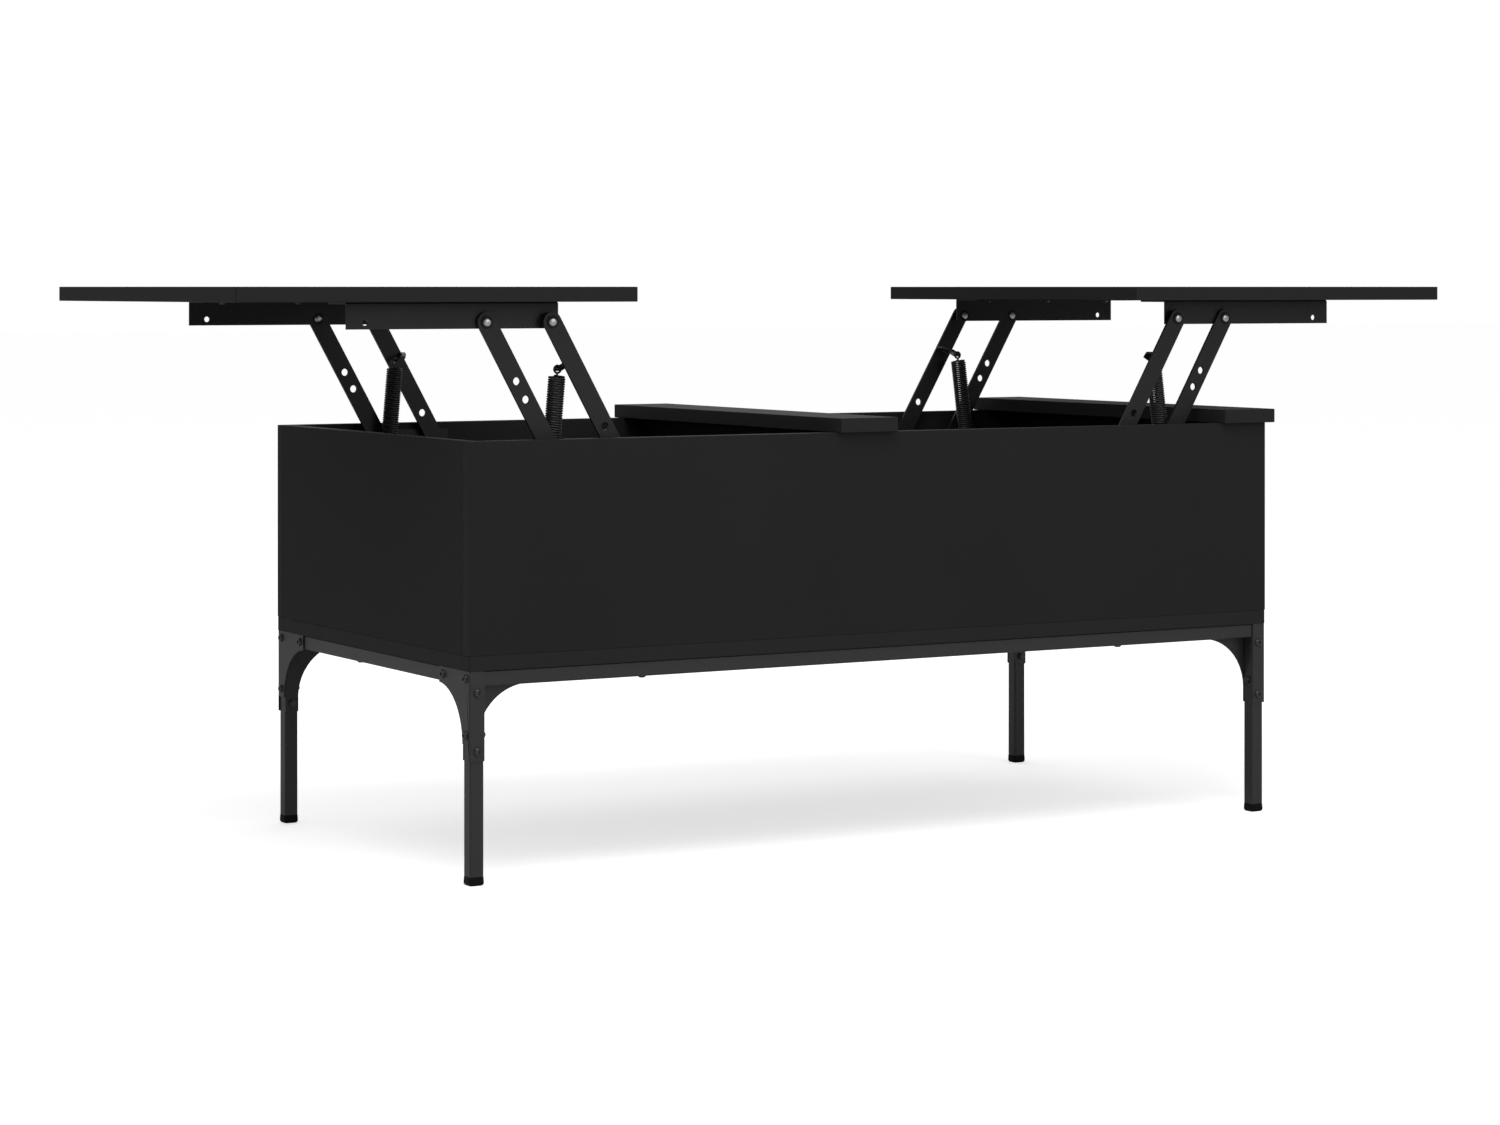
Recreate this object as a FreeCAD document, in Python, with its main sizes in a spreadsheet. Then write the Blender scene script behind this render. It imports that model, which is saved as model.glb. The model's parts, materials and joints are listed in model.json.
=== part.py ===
"""Double lift top coffee table: a storage box on a tube frame, with two lids on folding arms.

Millimetres, +Z up. The origin is on the floor under the middle of the table.
X runs along the table, -Y is the front. Each lid hangs on a front and a back
mechanism. The model stands with both lids raised and swung outwards.
"""
import FreeCAD, Part
import os
import Sketcher

doc = FreeCAD.newDocument("LiftTopTable")
V = FreeCAD.Vector

# ---------------------------------------------------------------- driving sizes
SIZES = {
    # the box
    "top_length": 1000, "top_width": 500, "table_height": 450, "board": 15, "overhang": 8,
    "panel_height": 210, "strip_width": 70, "divider_offset": 35,
    "dowel_diameter": 8, "dowel_in_face": 10, "dowel_in_edge": 20,
    # the lids
    "lid_seam": 0.6, "lid_rest_gap": 0.3, "lid_lift": 136, "open_reach": 738,
    # the tube frame
    "tube": 15, "tube_wall": 1.5, "frame_inset": 2, "foot_floor": 3, "foot_height": 9,
    "foot_wall": 0.6,
    # the corner brackets and gussets, down from the frame's top and in from the leg
    "bracket_sheet": 1.5, "bracket_radius": 56, "strip_drop": 88, "wing_drop": 72,
    "wing_reach": 53, "wing_bolt": 44, "front_bolt_high": 21, "front_bolt_low": 78.5,
    "side_bolt_low": 63,
    "bolt_shank": 5, "bolt_head": 9, "bolt_head_height": 2.6, "bolt_reach": 10,
    "nut": 8, "nut_height": 3.2, "bolt_end": 1,
    # the lift mechanism, across the table: distances from the inner face of the panel
    "plate_sheet": 3, "inner_arm_at": 8.6, "outer_arm_at": 14.1, "rail_at": 18,
    "spring_at": 31, "arm_sheet": 3, "rail_sheet": 2, "rail_flange": 45,
    # the lift mechanism, along the table
    "left_arm_length": 160, "right_arm_length": 208, "arm_width": 20,
    "pivot_spacing": 70, "pivot_inset": 80, "pivot_drop": 20, "rail_length": 230,
    "rail_overlap": 11, "rail_height": 26.6, "rail_hole_inset": 20, "rail_hole": 6,
    "arm_hole": 8, "arm_hole_first": 67.5, "arm_hole_pitch": 21, "inner_hole_at": 120.5,
    # pivots
    "pin_diameter": 8, "pin_clearance": 0.08, "open_pin_clearance": 0.35,
    "sleeve_diameter": 13, "side_play": 0.3, "pin_head": 13, "pin_head_height": 2,
    "flat_head_height": 1.4,
    # spring lugs, plates and springs
    "lug_from_pivot": 50, "lug_sheet": 3, "lug_neck_height": 3.8,
    "lug_upright_at": 22.5, "lug_end_at": 36, "spring_hole": 5, "hook_strip": 2.4,
    "plate_margin": 16, "plate_drop": 32, "plate_flange_end": 37,
    "left_anchor_out": 2, "right_anchor_out": 38,
    "spring_diameter": 18, "spring_wire": 2.2, "hook_length": 7.5, "turn_gap": 0.2,
    # screws
    "screw_shank": 4, "screw_head": 8, "screw_head_height": 2, "screw_reach": 9,
}

# sizes that follow from the driving ones; lengths in mm, angles in degrees
LAYOUT = {
    "box_length": "=Sizes.top_length - 2 * Sizes.overhang",
    "box_width": "=Sizes.top_width - 2 * Sizes.overhang",
    "half_length": "=box_length / 2",
    "half_width": "=box_width / 2",
    "inner_length": "=half_length - Sizes.board",
    "inner_width": "=half_width - Sizes.board",
    "box_top": "=Sizes.table_height - Sizes.board",
    "board_top": "=box_top - Sizes.panel_height",
    "frame_top": "=board_top - Sizes.board",
    "rail_under": "=frame_top - Sizes.tube",
    "frame_x": "=half_length - Sizes.frame_inset",
    "frame_y": "=half_width - Sizes.frame_inset",
    "lid_length": "=Sizes.top_length / 2 - Sizes.strip_width - Sizes.lid_seam",
    "lid_under": "=box_top + Sizes.lid_rest_gap + Sizes.lid_lift",
    "lid_inner_edge": "=Sizes.open_reach - lid_length",
    "lid_pivot_z": "=lid_under - Sizes.pivot_drop",
    "hook_ring": "=(Sizes.spring_hole + Sizes.hook_strip) / 2",
    "hook_rise": "=(Sizes.arm_width - Sizes.hook_strip) / 2",
    "inner_pin_out": "=lid_inner_edge + Sizes.pivot_inset",
    "outer_pin_out": "=inner_pin_out + Sizes.pivot_spacing",
    "left_shift": "=Sizes.open_reach - Sizes.top_length / 2",
    "right_shift": "=lid_inner_edge - Sizes.lid_seam / 2",
}
for side in ("left", "right"):
    LAYOUT.update({
        f"{side}_chord": f"=sqrt({side}_shift ^ 2 + Sizes.lid_lift ^ 2)",
        f"{side}_half_swing": f"=asin({side}_chord / (2 * Sizes.{side}_arm_length))",
        f"{side}_middle": f"=90 deg - atan(Sizes.lid_lift / {side}_shift)",
        f"{side}_elevation": f"=180 deg - {side}_middle - {side}_half_swing",
        f"{side}_base_inner": f"=inner_pin_out - Sizes.{side}_arm_length * cos({side}_elevation)",
        f"{side}_base_outer": f"={side}_base_inner + Sizes.pivot_spacing",
        f"{side}_base_z": f"=lid_pivot_z - Sizes.{side}_arm_length * sin({side}_elevation)",
        f"{side}_lug_along": f"=Sizes.{side}_arm_length - Sizes.lug_from_pivot",
        f"{side}_hook_out": f"={side}_base_inner + {side}_lug_along * cos({side}_elevation)"
                            f" + hook_rise * sin({side}_elevation)",
        f"{side}_hook_z": f"={side}_base_z + {side}_lug_along * sin({side}_elevation)"
                          f" - hook_rise * cos({side}_elevation)",
        f"{side}_anchor_out": f"={side}_base_outer + Sizes.{side}_anchor_out",
        f"{side}_anchor_z": f"={side}_base_z - Sizes.plate_drop",
        f"{side}_spring_length": f"=sqrt(({side}_hook_out - {side}_anchor_out) ^ 2"
                                 f" + ({side}_hook_z - {side}_anchor_z) ^ 2)",
        f"{side}_spring_lean": f"=atan(({side}_anchor_out - {side}_hook_out)"
                               f" / ({side}_hook_z - {side}_anchor_z))",
    })


def make_sheet(name, cells):
    """A spreadsheet with one aliased cell a row."""
    sheet = doc.addObject("Spreadsheet::Sheet", name)
    for row, (alias, value) in enumerate(cells.items(), start=1):
        sheet.set(f"A{row}", alias)
        sheet.setAlias(f"B{row}", alias)
    for row, value in enumerate(cells.values(), start=1):
        sheet.set(f"B{row}", str(value))
    doc.recompute()
    return sheet


make_sheet("Sizes", SIZES)
layout = make_sheet("Layout", LAYOUT)
nodes = []

SIDES = {"left": -1, "right": 1}
ENDS = {"front": -1, "back": 1}


def flip(sign, text):
    """An expression, negated on the left or at the front."""
    return f"-({text})" if sign < 0 else f"({text})"


def across(end, text):
    """The Y of a distance in from the inner face of the front or back panel."""
    return flip(ENDS[end], f"Layout.inner_width - ({text})")


def node(piece, label):
    """Name a finished sub-part."""
    piece.Label = label
    nodes.append(piece)
    return piece


def bind(piece, **expressions):
    """Tie properties to sheet expressions; x, y and z place the piece."""
    for name, text in expressions.items():
        target = f"Placement.Base.{name}" if name in ("x", "y", "z") else name
        piece.setExpression(target, text)
    return piece


# ---------------------------------------------------------------- primitives
def box(name, low, high):
    """A block between two corners given as expressions."""
    block = doc.addObject("Part::Box", name)
    for prop, axis, start, end in zip(("Length", "Width", "Height"), "xyz", low, high):
        bind(block, **{prop: f"({end}) - ({start})", axis: start})
    return block


def rod(name, centre, direction, radius, length):
    """A round bar from its centre point along +X, +Y or +Z; a negative length runs back."""
    turn = {"x": (V(0, 1, 0), 90), "y": (V(1, 0, 0), -90), "z": (V(0, 0, 1), 0)}[direction[-1]]
    sign = -1 if direction[0] == "-" else 1
    bar = doc.addObject("Part::Cylinder", name)
    angle = turn[1] if sign > 0 else turn[1] + 180
    axis = turn[0] if direction[-1] != "z" else V(1, 0, 0)
    bar.Placement = FreeCAD.Placement(V(), FreeCAD.Rotation(axis, angle))
    bind(bar, x=centre[0], y=centre[1], z=centre[2], Radius=radius, Height=length)
    return bar


def group(name, pieces):
    """Several solids as one object: those that touch are fused."""
    fuse = doc.addObject("Part::MultiFuse", name)
    fuse.Shapes = pieces
    return fuse


def cut(name, base, tools):
    """A block with each tool taken out of it."""
    result = base
    for number, tool in enumerate(tools):
        step = doc.addObject("Part::Cut", f"{name}_cut{number}")
        step.Base = result
        step.Tool = tool
        result = step
    return result


# ---------------------------------------------------------------- sketched bodies
def body(name):
    """A new empty body."""
    return doc.addObject("PartDesign::Body", name)


def add_polygon(sketch, points):
    """A closed outline through corner points given as expression pairs."""
    first = sketch.GeometryCount
    count = len(points)
    corners = [V(index, index * index, 0) for index in range(count)]
    for index in range(count):
        sketch.addGeometry(Part.LineSegment(corners[index], corners[(index + 1) % count]))
    for index in range(count):
        following = first + (index + 1) % count
        sketch.addConstraint(Sketcher.Constraint("Coincident", first + index, 2, following, 1))
    for index, (along, up) in enumerate(points):
        pin_point(sketch, first + index, 1, along, up)


def pin_point(sketch, geometry, point, along, up):
    """Place a sketch point by two expressions measured from the sketch's origin."""
    for kind, text in (("DistanceX", along), ("DistanceY", up)):
        number = sketch.addConstraint(Sketcher.Constraint(kind, -1, 1, geometry, point, 1.0))
        sketch.setExpression(f"Constraints[{number}]", text)


def add_circle(sketch, along, up, radius):
    """A circle with its centre and radius given as expressions."""
    number = sketch.addGeometry(Part.Circle(V(1, 1, 0), V(0, 0, 1), 1.0))
    pin_point(sketch, number, 3, along, up)
    size = sketch.addConstraint(Sketcher.Constraint("Radius", number, 1.0))
    sketch.setExpression(f"Constraints[{size}]", radius)


def add_slot(sketch, length, radius):
    """A bar outline with round ends, from the origin along the sketch's first axis."""
    left = Part.ArcOfCircle(Part.Circle(V(0, 0, 0), V(0, 0, 1), 10), 1.5708, 4.7124)
    right = Part.ArcOfCircle(Part.Circle(V(100, 0, 0), V(0, 0, 1), 10), -1.5708, 1.5708)
    a, b = sketch.addGeometry(left), sketch.addGeometry(right)
    low = sketch.addGeometry(Part.LineSegment(V(0, -10, 0), V(100, -10, 0)))
    high = sketch.addGeometry(Part.LineSegment(V(100, 10, 0), V(0, 10, 0)))
    for first, end, second, start in ((a, 2, low, 1), (low, 2, b, 1), (b, 2, high, 1), (high, 2, a, 1)):
        sketch.addConstraint(Sketcher.Constraint("Tangent", first, end, second, start))
    sketch.addConstraint(Sketcher.Constraint("Horizontal", low))
    sketch.addConstraint(Sketcher.Constraint("Coincident", a, 3, -1, 1))
    sketch.addConstraint(Sketcher.Constraint("PointOnObject", b, 3, -1))
    span = sketch.addConstraint(Sketcher.Constraint("DistanceX", -1, 1, b, 3, 100.0))
    sketch.setExpression(f"Constraints[{span}]", length)
    size = sketch.addConstraint(Sketcher.Constraint("Radius", a, 10.0))
    sketch.setExpression(f"Constraints[{size}]", radius)


def new_sketch(owner, plane, offset):
    """A sketch on an origin plane of its body, moved along the plane's normal."""
    name = f"{owner.Name}_sketch{len(owner.Group)}"
    sketch = owner.newObject("Sketcher::SketchObject", name)
    role = {"XY": "XY_Plane", "XZ": "XZ_Plane", "YZ": "YZ_Plane"}[plane]
    base = [item for item in owner.Origin.OriginFeatures if item.Role == role][0]
    sketch.AttachmentSupport = [(base, "")]
    sketch.MapMode = "FlatFace"
    sketch.setExpression("AttachmentOffset.Base.z", offset)
    return sketch


def pad(owner, plane, low, high, outline, holes=()):
    """Pad an outline with holes between two levels along X (YZ), Y (XZ) or Z (XY)."""
    # the XZ plane faces -Y, so its pad starts at the higher level and runs back
    offset = f"-({high})" if plane == "XZ" else low
    sketch = new_sketch(owner, plane, offset)
    outline(sketch)
    for hole in holes:
        add_circle(sketch, *hole)
    feature = owner.newObject("PartDesign::Pad", f"{owner.Name}_pad{len(owner.Group)}")
    feature.Profile = sketch
    feature.setExpression("Length", f"({high}) - ({low})")
    return feature


def polygon(*points):
    return lambda sketch: add_polygon(sketch, points)


def rectangle(x0, y0, x1, y1):
    return polygon((x0, y0), (x1, y0), (x1, y1), (x0, y1))


# ---------------------------------------------------------------- box and strips
def make_dowels():
    """Wooden dowels: board to panels, panels to each other, strips to panels."""
    pegs = []
    face, edge = "Sizes.dowel_in_face", "Sizes.dowel_in_edge"
    radius, length = "Sizes.dowel_diameter / 2", f"{face} + {edge}"

    def upright(along, over, z):
        pegs.append(rod(f"peg{len(pegs)}", (along, over, z), "z", radius, length))

    wall_y = "(Layout.half_width - Sizes.board / 2)"
    wall_x = "(Layout.half_length - Sizes.board / 2)"
    from_board = f"Layout.board_top - {face}"
    for sign in (-1, 1):
        for share in (-0.42, 0.05, 0.42):
            upright(f"{share} * Layout.box_length", flip(sign, wall_y), from_board)
        for share in (-0.3, 0.3):
            upright(flip(sign, wall_x), f"{share} * Layout.box_width", from_board)
    for share in (-0.3, 0.3):
        upright("-Sizes.divider_offset", f"{share} * Layout.box_width", from_board)
    for sign in (-1, 1):
        for along in (f"-{wall_x}", "-Sizes.divider_offset", wall_x):
            for share in (0.25, 0.7):
                level = f"Layout.board_top + {share} * Sizes.panel_height"
                start = flip(sign, f"Layout.inner_width - {edge}")
                way = "y" if sign > 0 else "-y"
                pegs.append(rod(f"peg{len(pegs)}", (along, start, level), way, radius, length))
        strips = ("-0.8 * Sizes.strip_width", "-0.2 * Sizes.strip_width",
                  "Sizes.top_length / 2 - 0.8 * Sizes.strip_width",
                  "Sizes.top_length / 2 - 0.4 * Sizes.strip_width")
        for along in strips:
            upright(along, flip(sign, wall_y), f"Layout.box_top - {edge}")
    return node(group("panel_dowels", pegs), "panel_dowels")


def make_boards(dowels, plate_screws, board_screws):
    """Every flat board of the box, bored for the dowels and screws it holds."""
    lx, ly = "Layout.half_length", "Layout.half_width"
    ix, iy = "Layout.inner_length", "Layout.inner_width"
    floor, top = "Layout.board_top", "Layout.box_top"
    half = "Sizes.board / 2"
    strip_top = "Sizes.table_height"
    strip_y = "Sizes.top_width / 2"
    boards = {
        "base_board": ((f"-{lx}", f"-{ly}", "Layout.frame_top"), (lx, ly, floor)),
        "front_panel": ((f"-{lx}", f"-{ly}", floor), (lx, f"-{iy}", top)),
        "back_panel": ((f"-{lx}", iy, floor), (lx, ly, top)),
        "left_panel": ((f"-{lx}", f"-{iy}", floor), (f"-{ix}", iy, top)),
        "right_panel": ((ix, f"-{iy}", floor), (lx, iy, top)),
        "centre_divider": ((f"-Sizes.divider_offset - {half}", f"-{iy}", floor),
                           (f"-Sizes.divider_offset + {half}", iy, top)),
        "centre_strip": (("-Sizes.strip_width", f"-{strip_y}", top), ("0", strip_y, strip_top)),
        "right_strip": (("Sizes.top_length / 2 - Sizes.strip_width", f"-{strip_y}", top),
                        ("Sizes.top_length / 2", strip_y, strip_top)),
    }
    for name, (low, high) in boards.items():
        tools = [dowels]
        if name in ("front_panel", "back_panel"):
            tools.append(plate_screws)
        if name == "base_board":
            tools.append(board_screws)
        node(cut(name, box(f"{name}_blank", low, high), tools), name)


# ---------------------------------------------------------------- tube frame
def make_legs(bolts):
    """Square tube legs with closed tops under the board."""
    for side, sx in SIDES.items():
        for end, sy in ENDS.items():
            leg = body(f"{end}_{side}_leg_tube")
            x0, x1 = flip(sx, "Layout.frame_x"), flip(sx, "Layout.frame_x - Sizes.tube")
            y0, y1 = flip(sy, "Layout.frame_y"), flip(sy, "Layout.frame_y - Sizes.tube")
            wall = "Sizes.tube_wall"
            u0, u1 = flip(sx, f"Layout.frame_x - {wall}"), flip(sx, f"Layout.frame_x - Sizes.tube + {wall}")
            v0, v1 = flip(sy, f"Layout.frame_y - {wall}"), flip(sy, f"Layout.frame_y - Sizes.tube + {wall}")

            def ring(sketch, outer=(x0, y0, x1, y1), inner=(u0, v0, u1, v1)):
                rectangle(*outer)(sketch)
                rectangle(*inner)(sketch)

            pad(leg, "XY", "Sizes.foot_floor", "Layout.frame_top", ring)
            node(cut(f"{end}_{side}_leg", leg, [bolts]), f"{end}_{side}_leg")


def make_apron_rails(fasteners):
    """Square tubes between the legs, under the edge of the board."""
    low, high, wall = "Layout.rail_under", "Layout.frame_top", "Sizes.tube_wall"
    for end, sy in ENDS.items():
        rail = body(f"{end}_apron_tube")
        near, far = flip(sy, "Layout.frame_y"), flip(sy, "Layout.frame_y - Sizes.tube")
        near_in, far_in = flip(sy, f"Layout.frame_y - {wall}"), flip(sy, f"Layout.frame_y - Sizes.tube + {wall}")

        def ring(sketch, outer=(near, low, far, high), inner=(near_in, f"{low} + {wall}", far_in, f"{high} - {wall}")):
            rectangle(*outer)(sketch)
            rectangle(*inner)(sketch)

        reach = "Layout.frame_x - Sizes.tube"
        pad(rail, "YZ", f"-({reach})", reach, ring)
        node(cut(f"{end}_apron_rail", rail, fasteners), f"{end}_apron_rail")
    for side, sx in SIDES.items():
        rail = body(f"{side}_apron_tube")
        near, far = flip(sx, "Layout.frame_x"), flip(sx, "Layout.frame_x - Sizes.tube")
        near_in, far_in = flip(sx, f"Layout.frame_x - {wall}"), flip(sx, f"Layout.frame_x - Sizes.tube + {wall}")

        def ring(sketch, outer=(near, low, far, high), inner=(near_in, f"{low} + {wall}", far_in, f"{high} - {wall}")):
            rectangle(*outer)(sketch)
            rectangle(*inner)(sketch)

        reach = "Layout.frame_y - Sizes.tube - Sizes.bracket_sheet"
        pad(rail, "XZ", f"-({reach})", reach, ring)
        node(cut(f"{side}_apron_rail", rail, fasteners), f"{side}_apron_rail")


def make_foot_caps():
    """Plastic caps pushed over the leg ends."""
    caps = []
    for side, sx in SIDES.items():
        for end, sy in ENDS.items():
            grow = "Sizes.foot_wall"
            x0, x1 = flip(sx, f"Layout.frame_x + {grow}"), flip(sx, f"Layout.frame_x - Sizes.tube - {grow}")
            y0, y1 = flip(sy, f"Layout.frame_y + {grow}"), flip(sy, f"Layout.frame_y - Sizes.tube - {grow}")
            low_x, high_x = (x0, x1) if sx < 0 else (x1, x0)
            low_y, high_y = (y0, y1) if sy < 0 else (y1, y0)
            name = f"cap_{end}_{side}"
            outer = box(f"{name}_outer", (low_x, low_y, "0"), (high_x, high_y, "Sizes.foot_height"))
            socket = box(f"{name}_socket", (f"{low_x} + {grow}", f"{low_y} + {grow}", "Sizes.foot_floor"),
                         (f"{high_x} - {grow}", f"{high_y} - {grow}", "Sizes.foot_height + 1"))
            caps.append(cut(name, outer, [socket]))
    node(group("foot_caps", caps), "foot_caps")


def opposite(way):
    return way[1:] if way.startswith("-") else f"-{way}"


def make_bolts():
    """Button-head bolts in brackets, legs and side rails, with nuts on those that pass right through."""
    bolts, nuts = [], []
    sheet, tube = "Sizes.bracket_sheet", "Sizes.tube"
    beyond = "Sizes.nut_height + Sizes.bolt_end"

    def bolt(spot, way, reach):
        number = len(bolts)
        head = rod(f"bolt_head{number}", spot, way, "Sizes.bolt_head / 2", "Sizes.bolt_head_height")
        shank = rod(f"bolt_shank{number}", spot, opposite(way), "Sizes.bolt_shank / 2", reach)
        bolts.append(group(f"bolt{number}", [head, shank]))

    def nut_on(spot, way):
        nuts.append(rod(f"nut{len(nuts)}", spot, way, "Sizes.nut / 2", "Sizes.nut_height"))

    for side, sx in SIDES.items():
        for end, sy in ENDS.items():
            out_x, out_y = ("x" if sx > 0 else "-x"), ("y" if sy > 0 else "-y")
            x_mid, y_mid = flip(sx, f"Layout.frame_x - {tube} / 2"), flip(sy, f"Layout.frame_y - {tube} / 2")
            x_face, y_face = flip(sx, f"Layout.frame_x + {sheet}"), flip(sy, f"Layout.frame_y + {sheet}")
            # through the front or back strip, the leg and the gusset
            for drop in ("Sizes.front_bolt_high", "Sizes.front_bolt_low"):
                level = f"Layout.frame_top - {drop}"
                bolt((x_mid, y_face, level), out_y, f"{tube} + 2 * {sheet} + {beyond}")
                nut_on((x_mid, flip(sy, f"Layout.frame_y - {tube} - {sheet}"), level), opposite(out_y))
            # through the side wing and the leg
            low = "Layout.frame_top - Sizes.side_bolt_low"
            bolt((x_face, y_mid, low), out_x, f"{tube} + {sheet} + {beyond}")
            nut_on((flip(sx, f"Layout.frame_x - {tube}"), y_mid, low), opposite(out_x))
            # into the leg's and the side rail's outer wall only
            high = f"Layout.frame_top - {tube} / 2"
            bolt((x_face, y_mid, high), out_x, "Sizes.bolt_reach")
            bolt((x_face, flip(sy, f"Layout.frame_y - {tube} - Sizes.wing_bolt"), high), out_x,
                 "Sizes.bolt_reach")
    fitted = node(group("frame_bolts", bolts), "frame_bolts")
    node(cut("frame_nuts", group("nut_blanks", nuts), [fitted]), "frame_nuts")
    return fitted


def make_brackets(bolts):
    """Bent sheet on each corner: a strip down the leg and a side wing with a round throat."""
    sheet, radius, top = "Sizes.bracket_sheet", "Sizes.bracket_radius", "Layout.frame_top"
    bottom = f"{top} - Sizes.wing_drop"
    for side, sx in SIDES.items():
        for end, sy in ENDS.items():
            corner = body(f"{end}_{side}_bracket_sheet")
            # the strip, in the XZ plane outside the leg
            low_y, high_y = "Layout.frame_y", f"Layout.frame_y + {sheet}"
            if sy < 0:
                low_y, high_y = f"-({high_y})", f"-({low_y})"
            pad(corner, "XZ", low_y, high_y, rectangle(
                flip(sx, f"Layout.frame_x + {sheet}"), f"{top} - Sizes.strip_drop",
                flip(sx, "Layout.frame_x - Sizes.tube"), top))
            # the wing, in the YZ plane outside the leg and over the rail's end
            low_x, high_x = "Layout.frame_x", f"Layout.frame_x + {sheet}"
            if sx < 0:
                low_x, high_x = f"-({high_x})", f"-({low_x})"
            pad(corner, "YZ", low_x, high_x, rectangle(
                flip(sy, f"Layout.frame_y + {sheet}"), bottom,
                flip(sy, "Layout.frame_y - Sizes.tube - Sizes.wing_reach"), top))
            throat = rod(f"{end}_{side}_bracket_throat",
                         (flip(sx, "Layout.frame_x - Sizes.tube"),
                          flip(sy, f"Layout.frame_y - Sizes.tube - {radius}"), bottom),
                         "x" if sx > 0 else "-x", radius, f"Sizes.tube + 2 * {sheet}")
            node(cut(f"{end}_{side}_bracket", corner, [throat, bolts]), f"{end}_{side}_bracket")


def make_gussets(bolts):
    """Flat gussets behind the front and back rails, bolted through the legs."""
    sheet, radius, top = "Sizes.bracket_sheet", "Sizes.bracket_radius", "Layout.frame_top"
    level, bottom = f"{top} - Sizes.wing_drop", f"{top} - Sizes.strip_drop"
    for side, sx in SIDES.items():
        for end, sy in ENDS.items():
            plate = body(f"{end}_{side}_gusset_sheet")
            low_y, high_y = f"Layout.frame_y - Sizes.tube - {sheet}", "Layout.frame_y - Sizes.tube"
            if sy < 0:
                low_y, high_y = f"-({high_y})", f"-({low_y})"
            outer, inner = flip(sx, "Layout.frame_x"), flip(sx, "Layout.frame_x - Sizes.tube")
            tip = flip(sx, "Layout.frame_x - Sizes.tube - Sizes.wing_reach")
            pad(plate, "XZ", low_y, high_y, polygon((outer, bottom), (inner, bottom), (inner, level),
                                                    (tip, level), (tip, top), (outer, top)))
            throat = rod(f"{end}_{side}_gusset_throat",
                         (flip(sx, f"Layout.frame_x - Sizes.tube - {radius}"), flip(sy, "Layout.frame_y"), level),
                         "-y" if sy > 0 else "y", radius, f"Sizes.tube + 4 * {sheet}")
            node(cut(f"{end}_{side}_gusset", plate, [throat, bolts]), f"{end}_{side}_gusset")


def make_board_screws():
    """Screws up through the apron rails into the base board."""
    screws = []
    depth = "Sizes.tube + Sizes.screw_reach"
    level = "Layout.rail_under"
    spots = []
    for sign in (-1, 1):
        for share in (-0.3, 0.3):
            spots.append((f"{share} * Layout.box_length", flip(sign, "Layout.frame_y - Sizes.tube / 2")))
        spots.append((flip(sign, "Layout.frame_x - Sizes.tube / 2"), "0.08 * Layout.box_width"))
    for along, over in spots:
        number = len(screws)
        shank = rod(f"board_screw_shank{number}", (along, over, level), "z", "Sizes.screw_shank / 2", depth)
        head = rod(f"board_screw_head{number}", (along, over, level), "-z", "Sizes.screw_head / 2",
                   "Sizes.screw_head_height")
        screws.append(group(f"board_screw{number}", [shank, head]))
    return node(group("board_screws", screws), "board_screws")


# ---------------------------------------------------------------- lids
def make_lids(screws):
    """The two lids, raised, level and swung outwards."""
    for side, sx in SIDES.items():
        inner, outer = flip(sx, "Layout.lid_inner_edge"), flip(sx, "Sizes.open_reach")
        low_x, high_x = (outer, inner) if sx < 0 else (inner, outer)
        y = "Sizes.top_width / 2"
        blank = box(f"{side}_lid_blank", (low_x, f"-{y}", "Layout.lid_under"),
                    (high_x, y, "Layout.lid_under + Sizes.board"))
        node(cut(f"{side}_lid", blank, [screws[side]]), f"{side}_lid")


def make_lid_screws(side):
    """Screws up through the rail flanges into a lid."""
    screws = []
    inner_end = "Layout.inner_pin_out - Sizes.rail_overlap"
    for end in ENDS:
        over = across(end, "Sizes.rail_at + 0.6 * Sizes.rail_flange")
        for share in (0.12, 0.5, 0.88):
            along = flip(SIDES[side], f"{inner_end} + {share} * Sizes.rail_length")
            level = "Layout.lid_under - Sizes.rail_sheet"
            number = len(screws)
            shank = rod(f"{side}_lid_shank{number}", (along, over, level), "z", "Sizes.screw_shank / 2",
                        "Sizes.rail_sheet + Sizes.screw_reach")
            head = rod(f"{side}_lid_head{number}", (along, over, level), "-z", "Sizes.screw_head / 2",
                       "Sizes.screw_head_height")
            screws.append(group(f"{side}_lid_screw{number}", [shank, head]))
    return node(group(f"{side}_lid_screws", screws), f"{side}_lid_screws")


# ---------------------------------------------------------------- lift mechanism
def span(end, near, far):
    """Low and high Y of a layer between two distances in from the panel."""
    ends = (across(end, near), across(end, far))
    return ends if ENDS[end] < 0 else ends[::-1]


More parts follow.
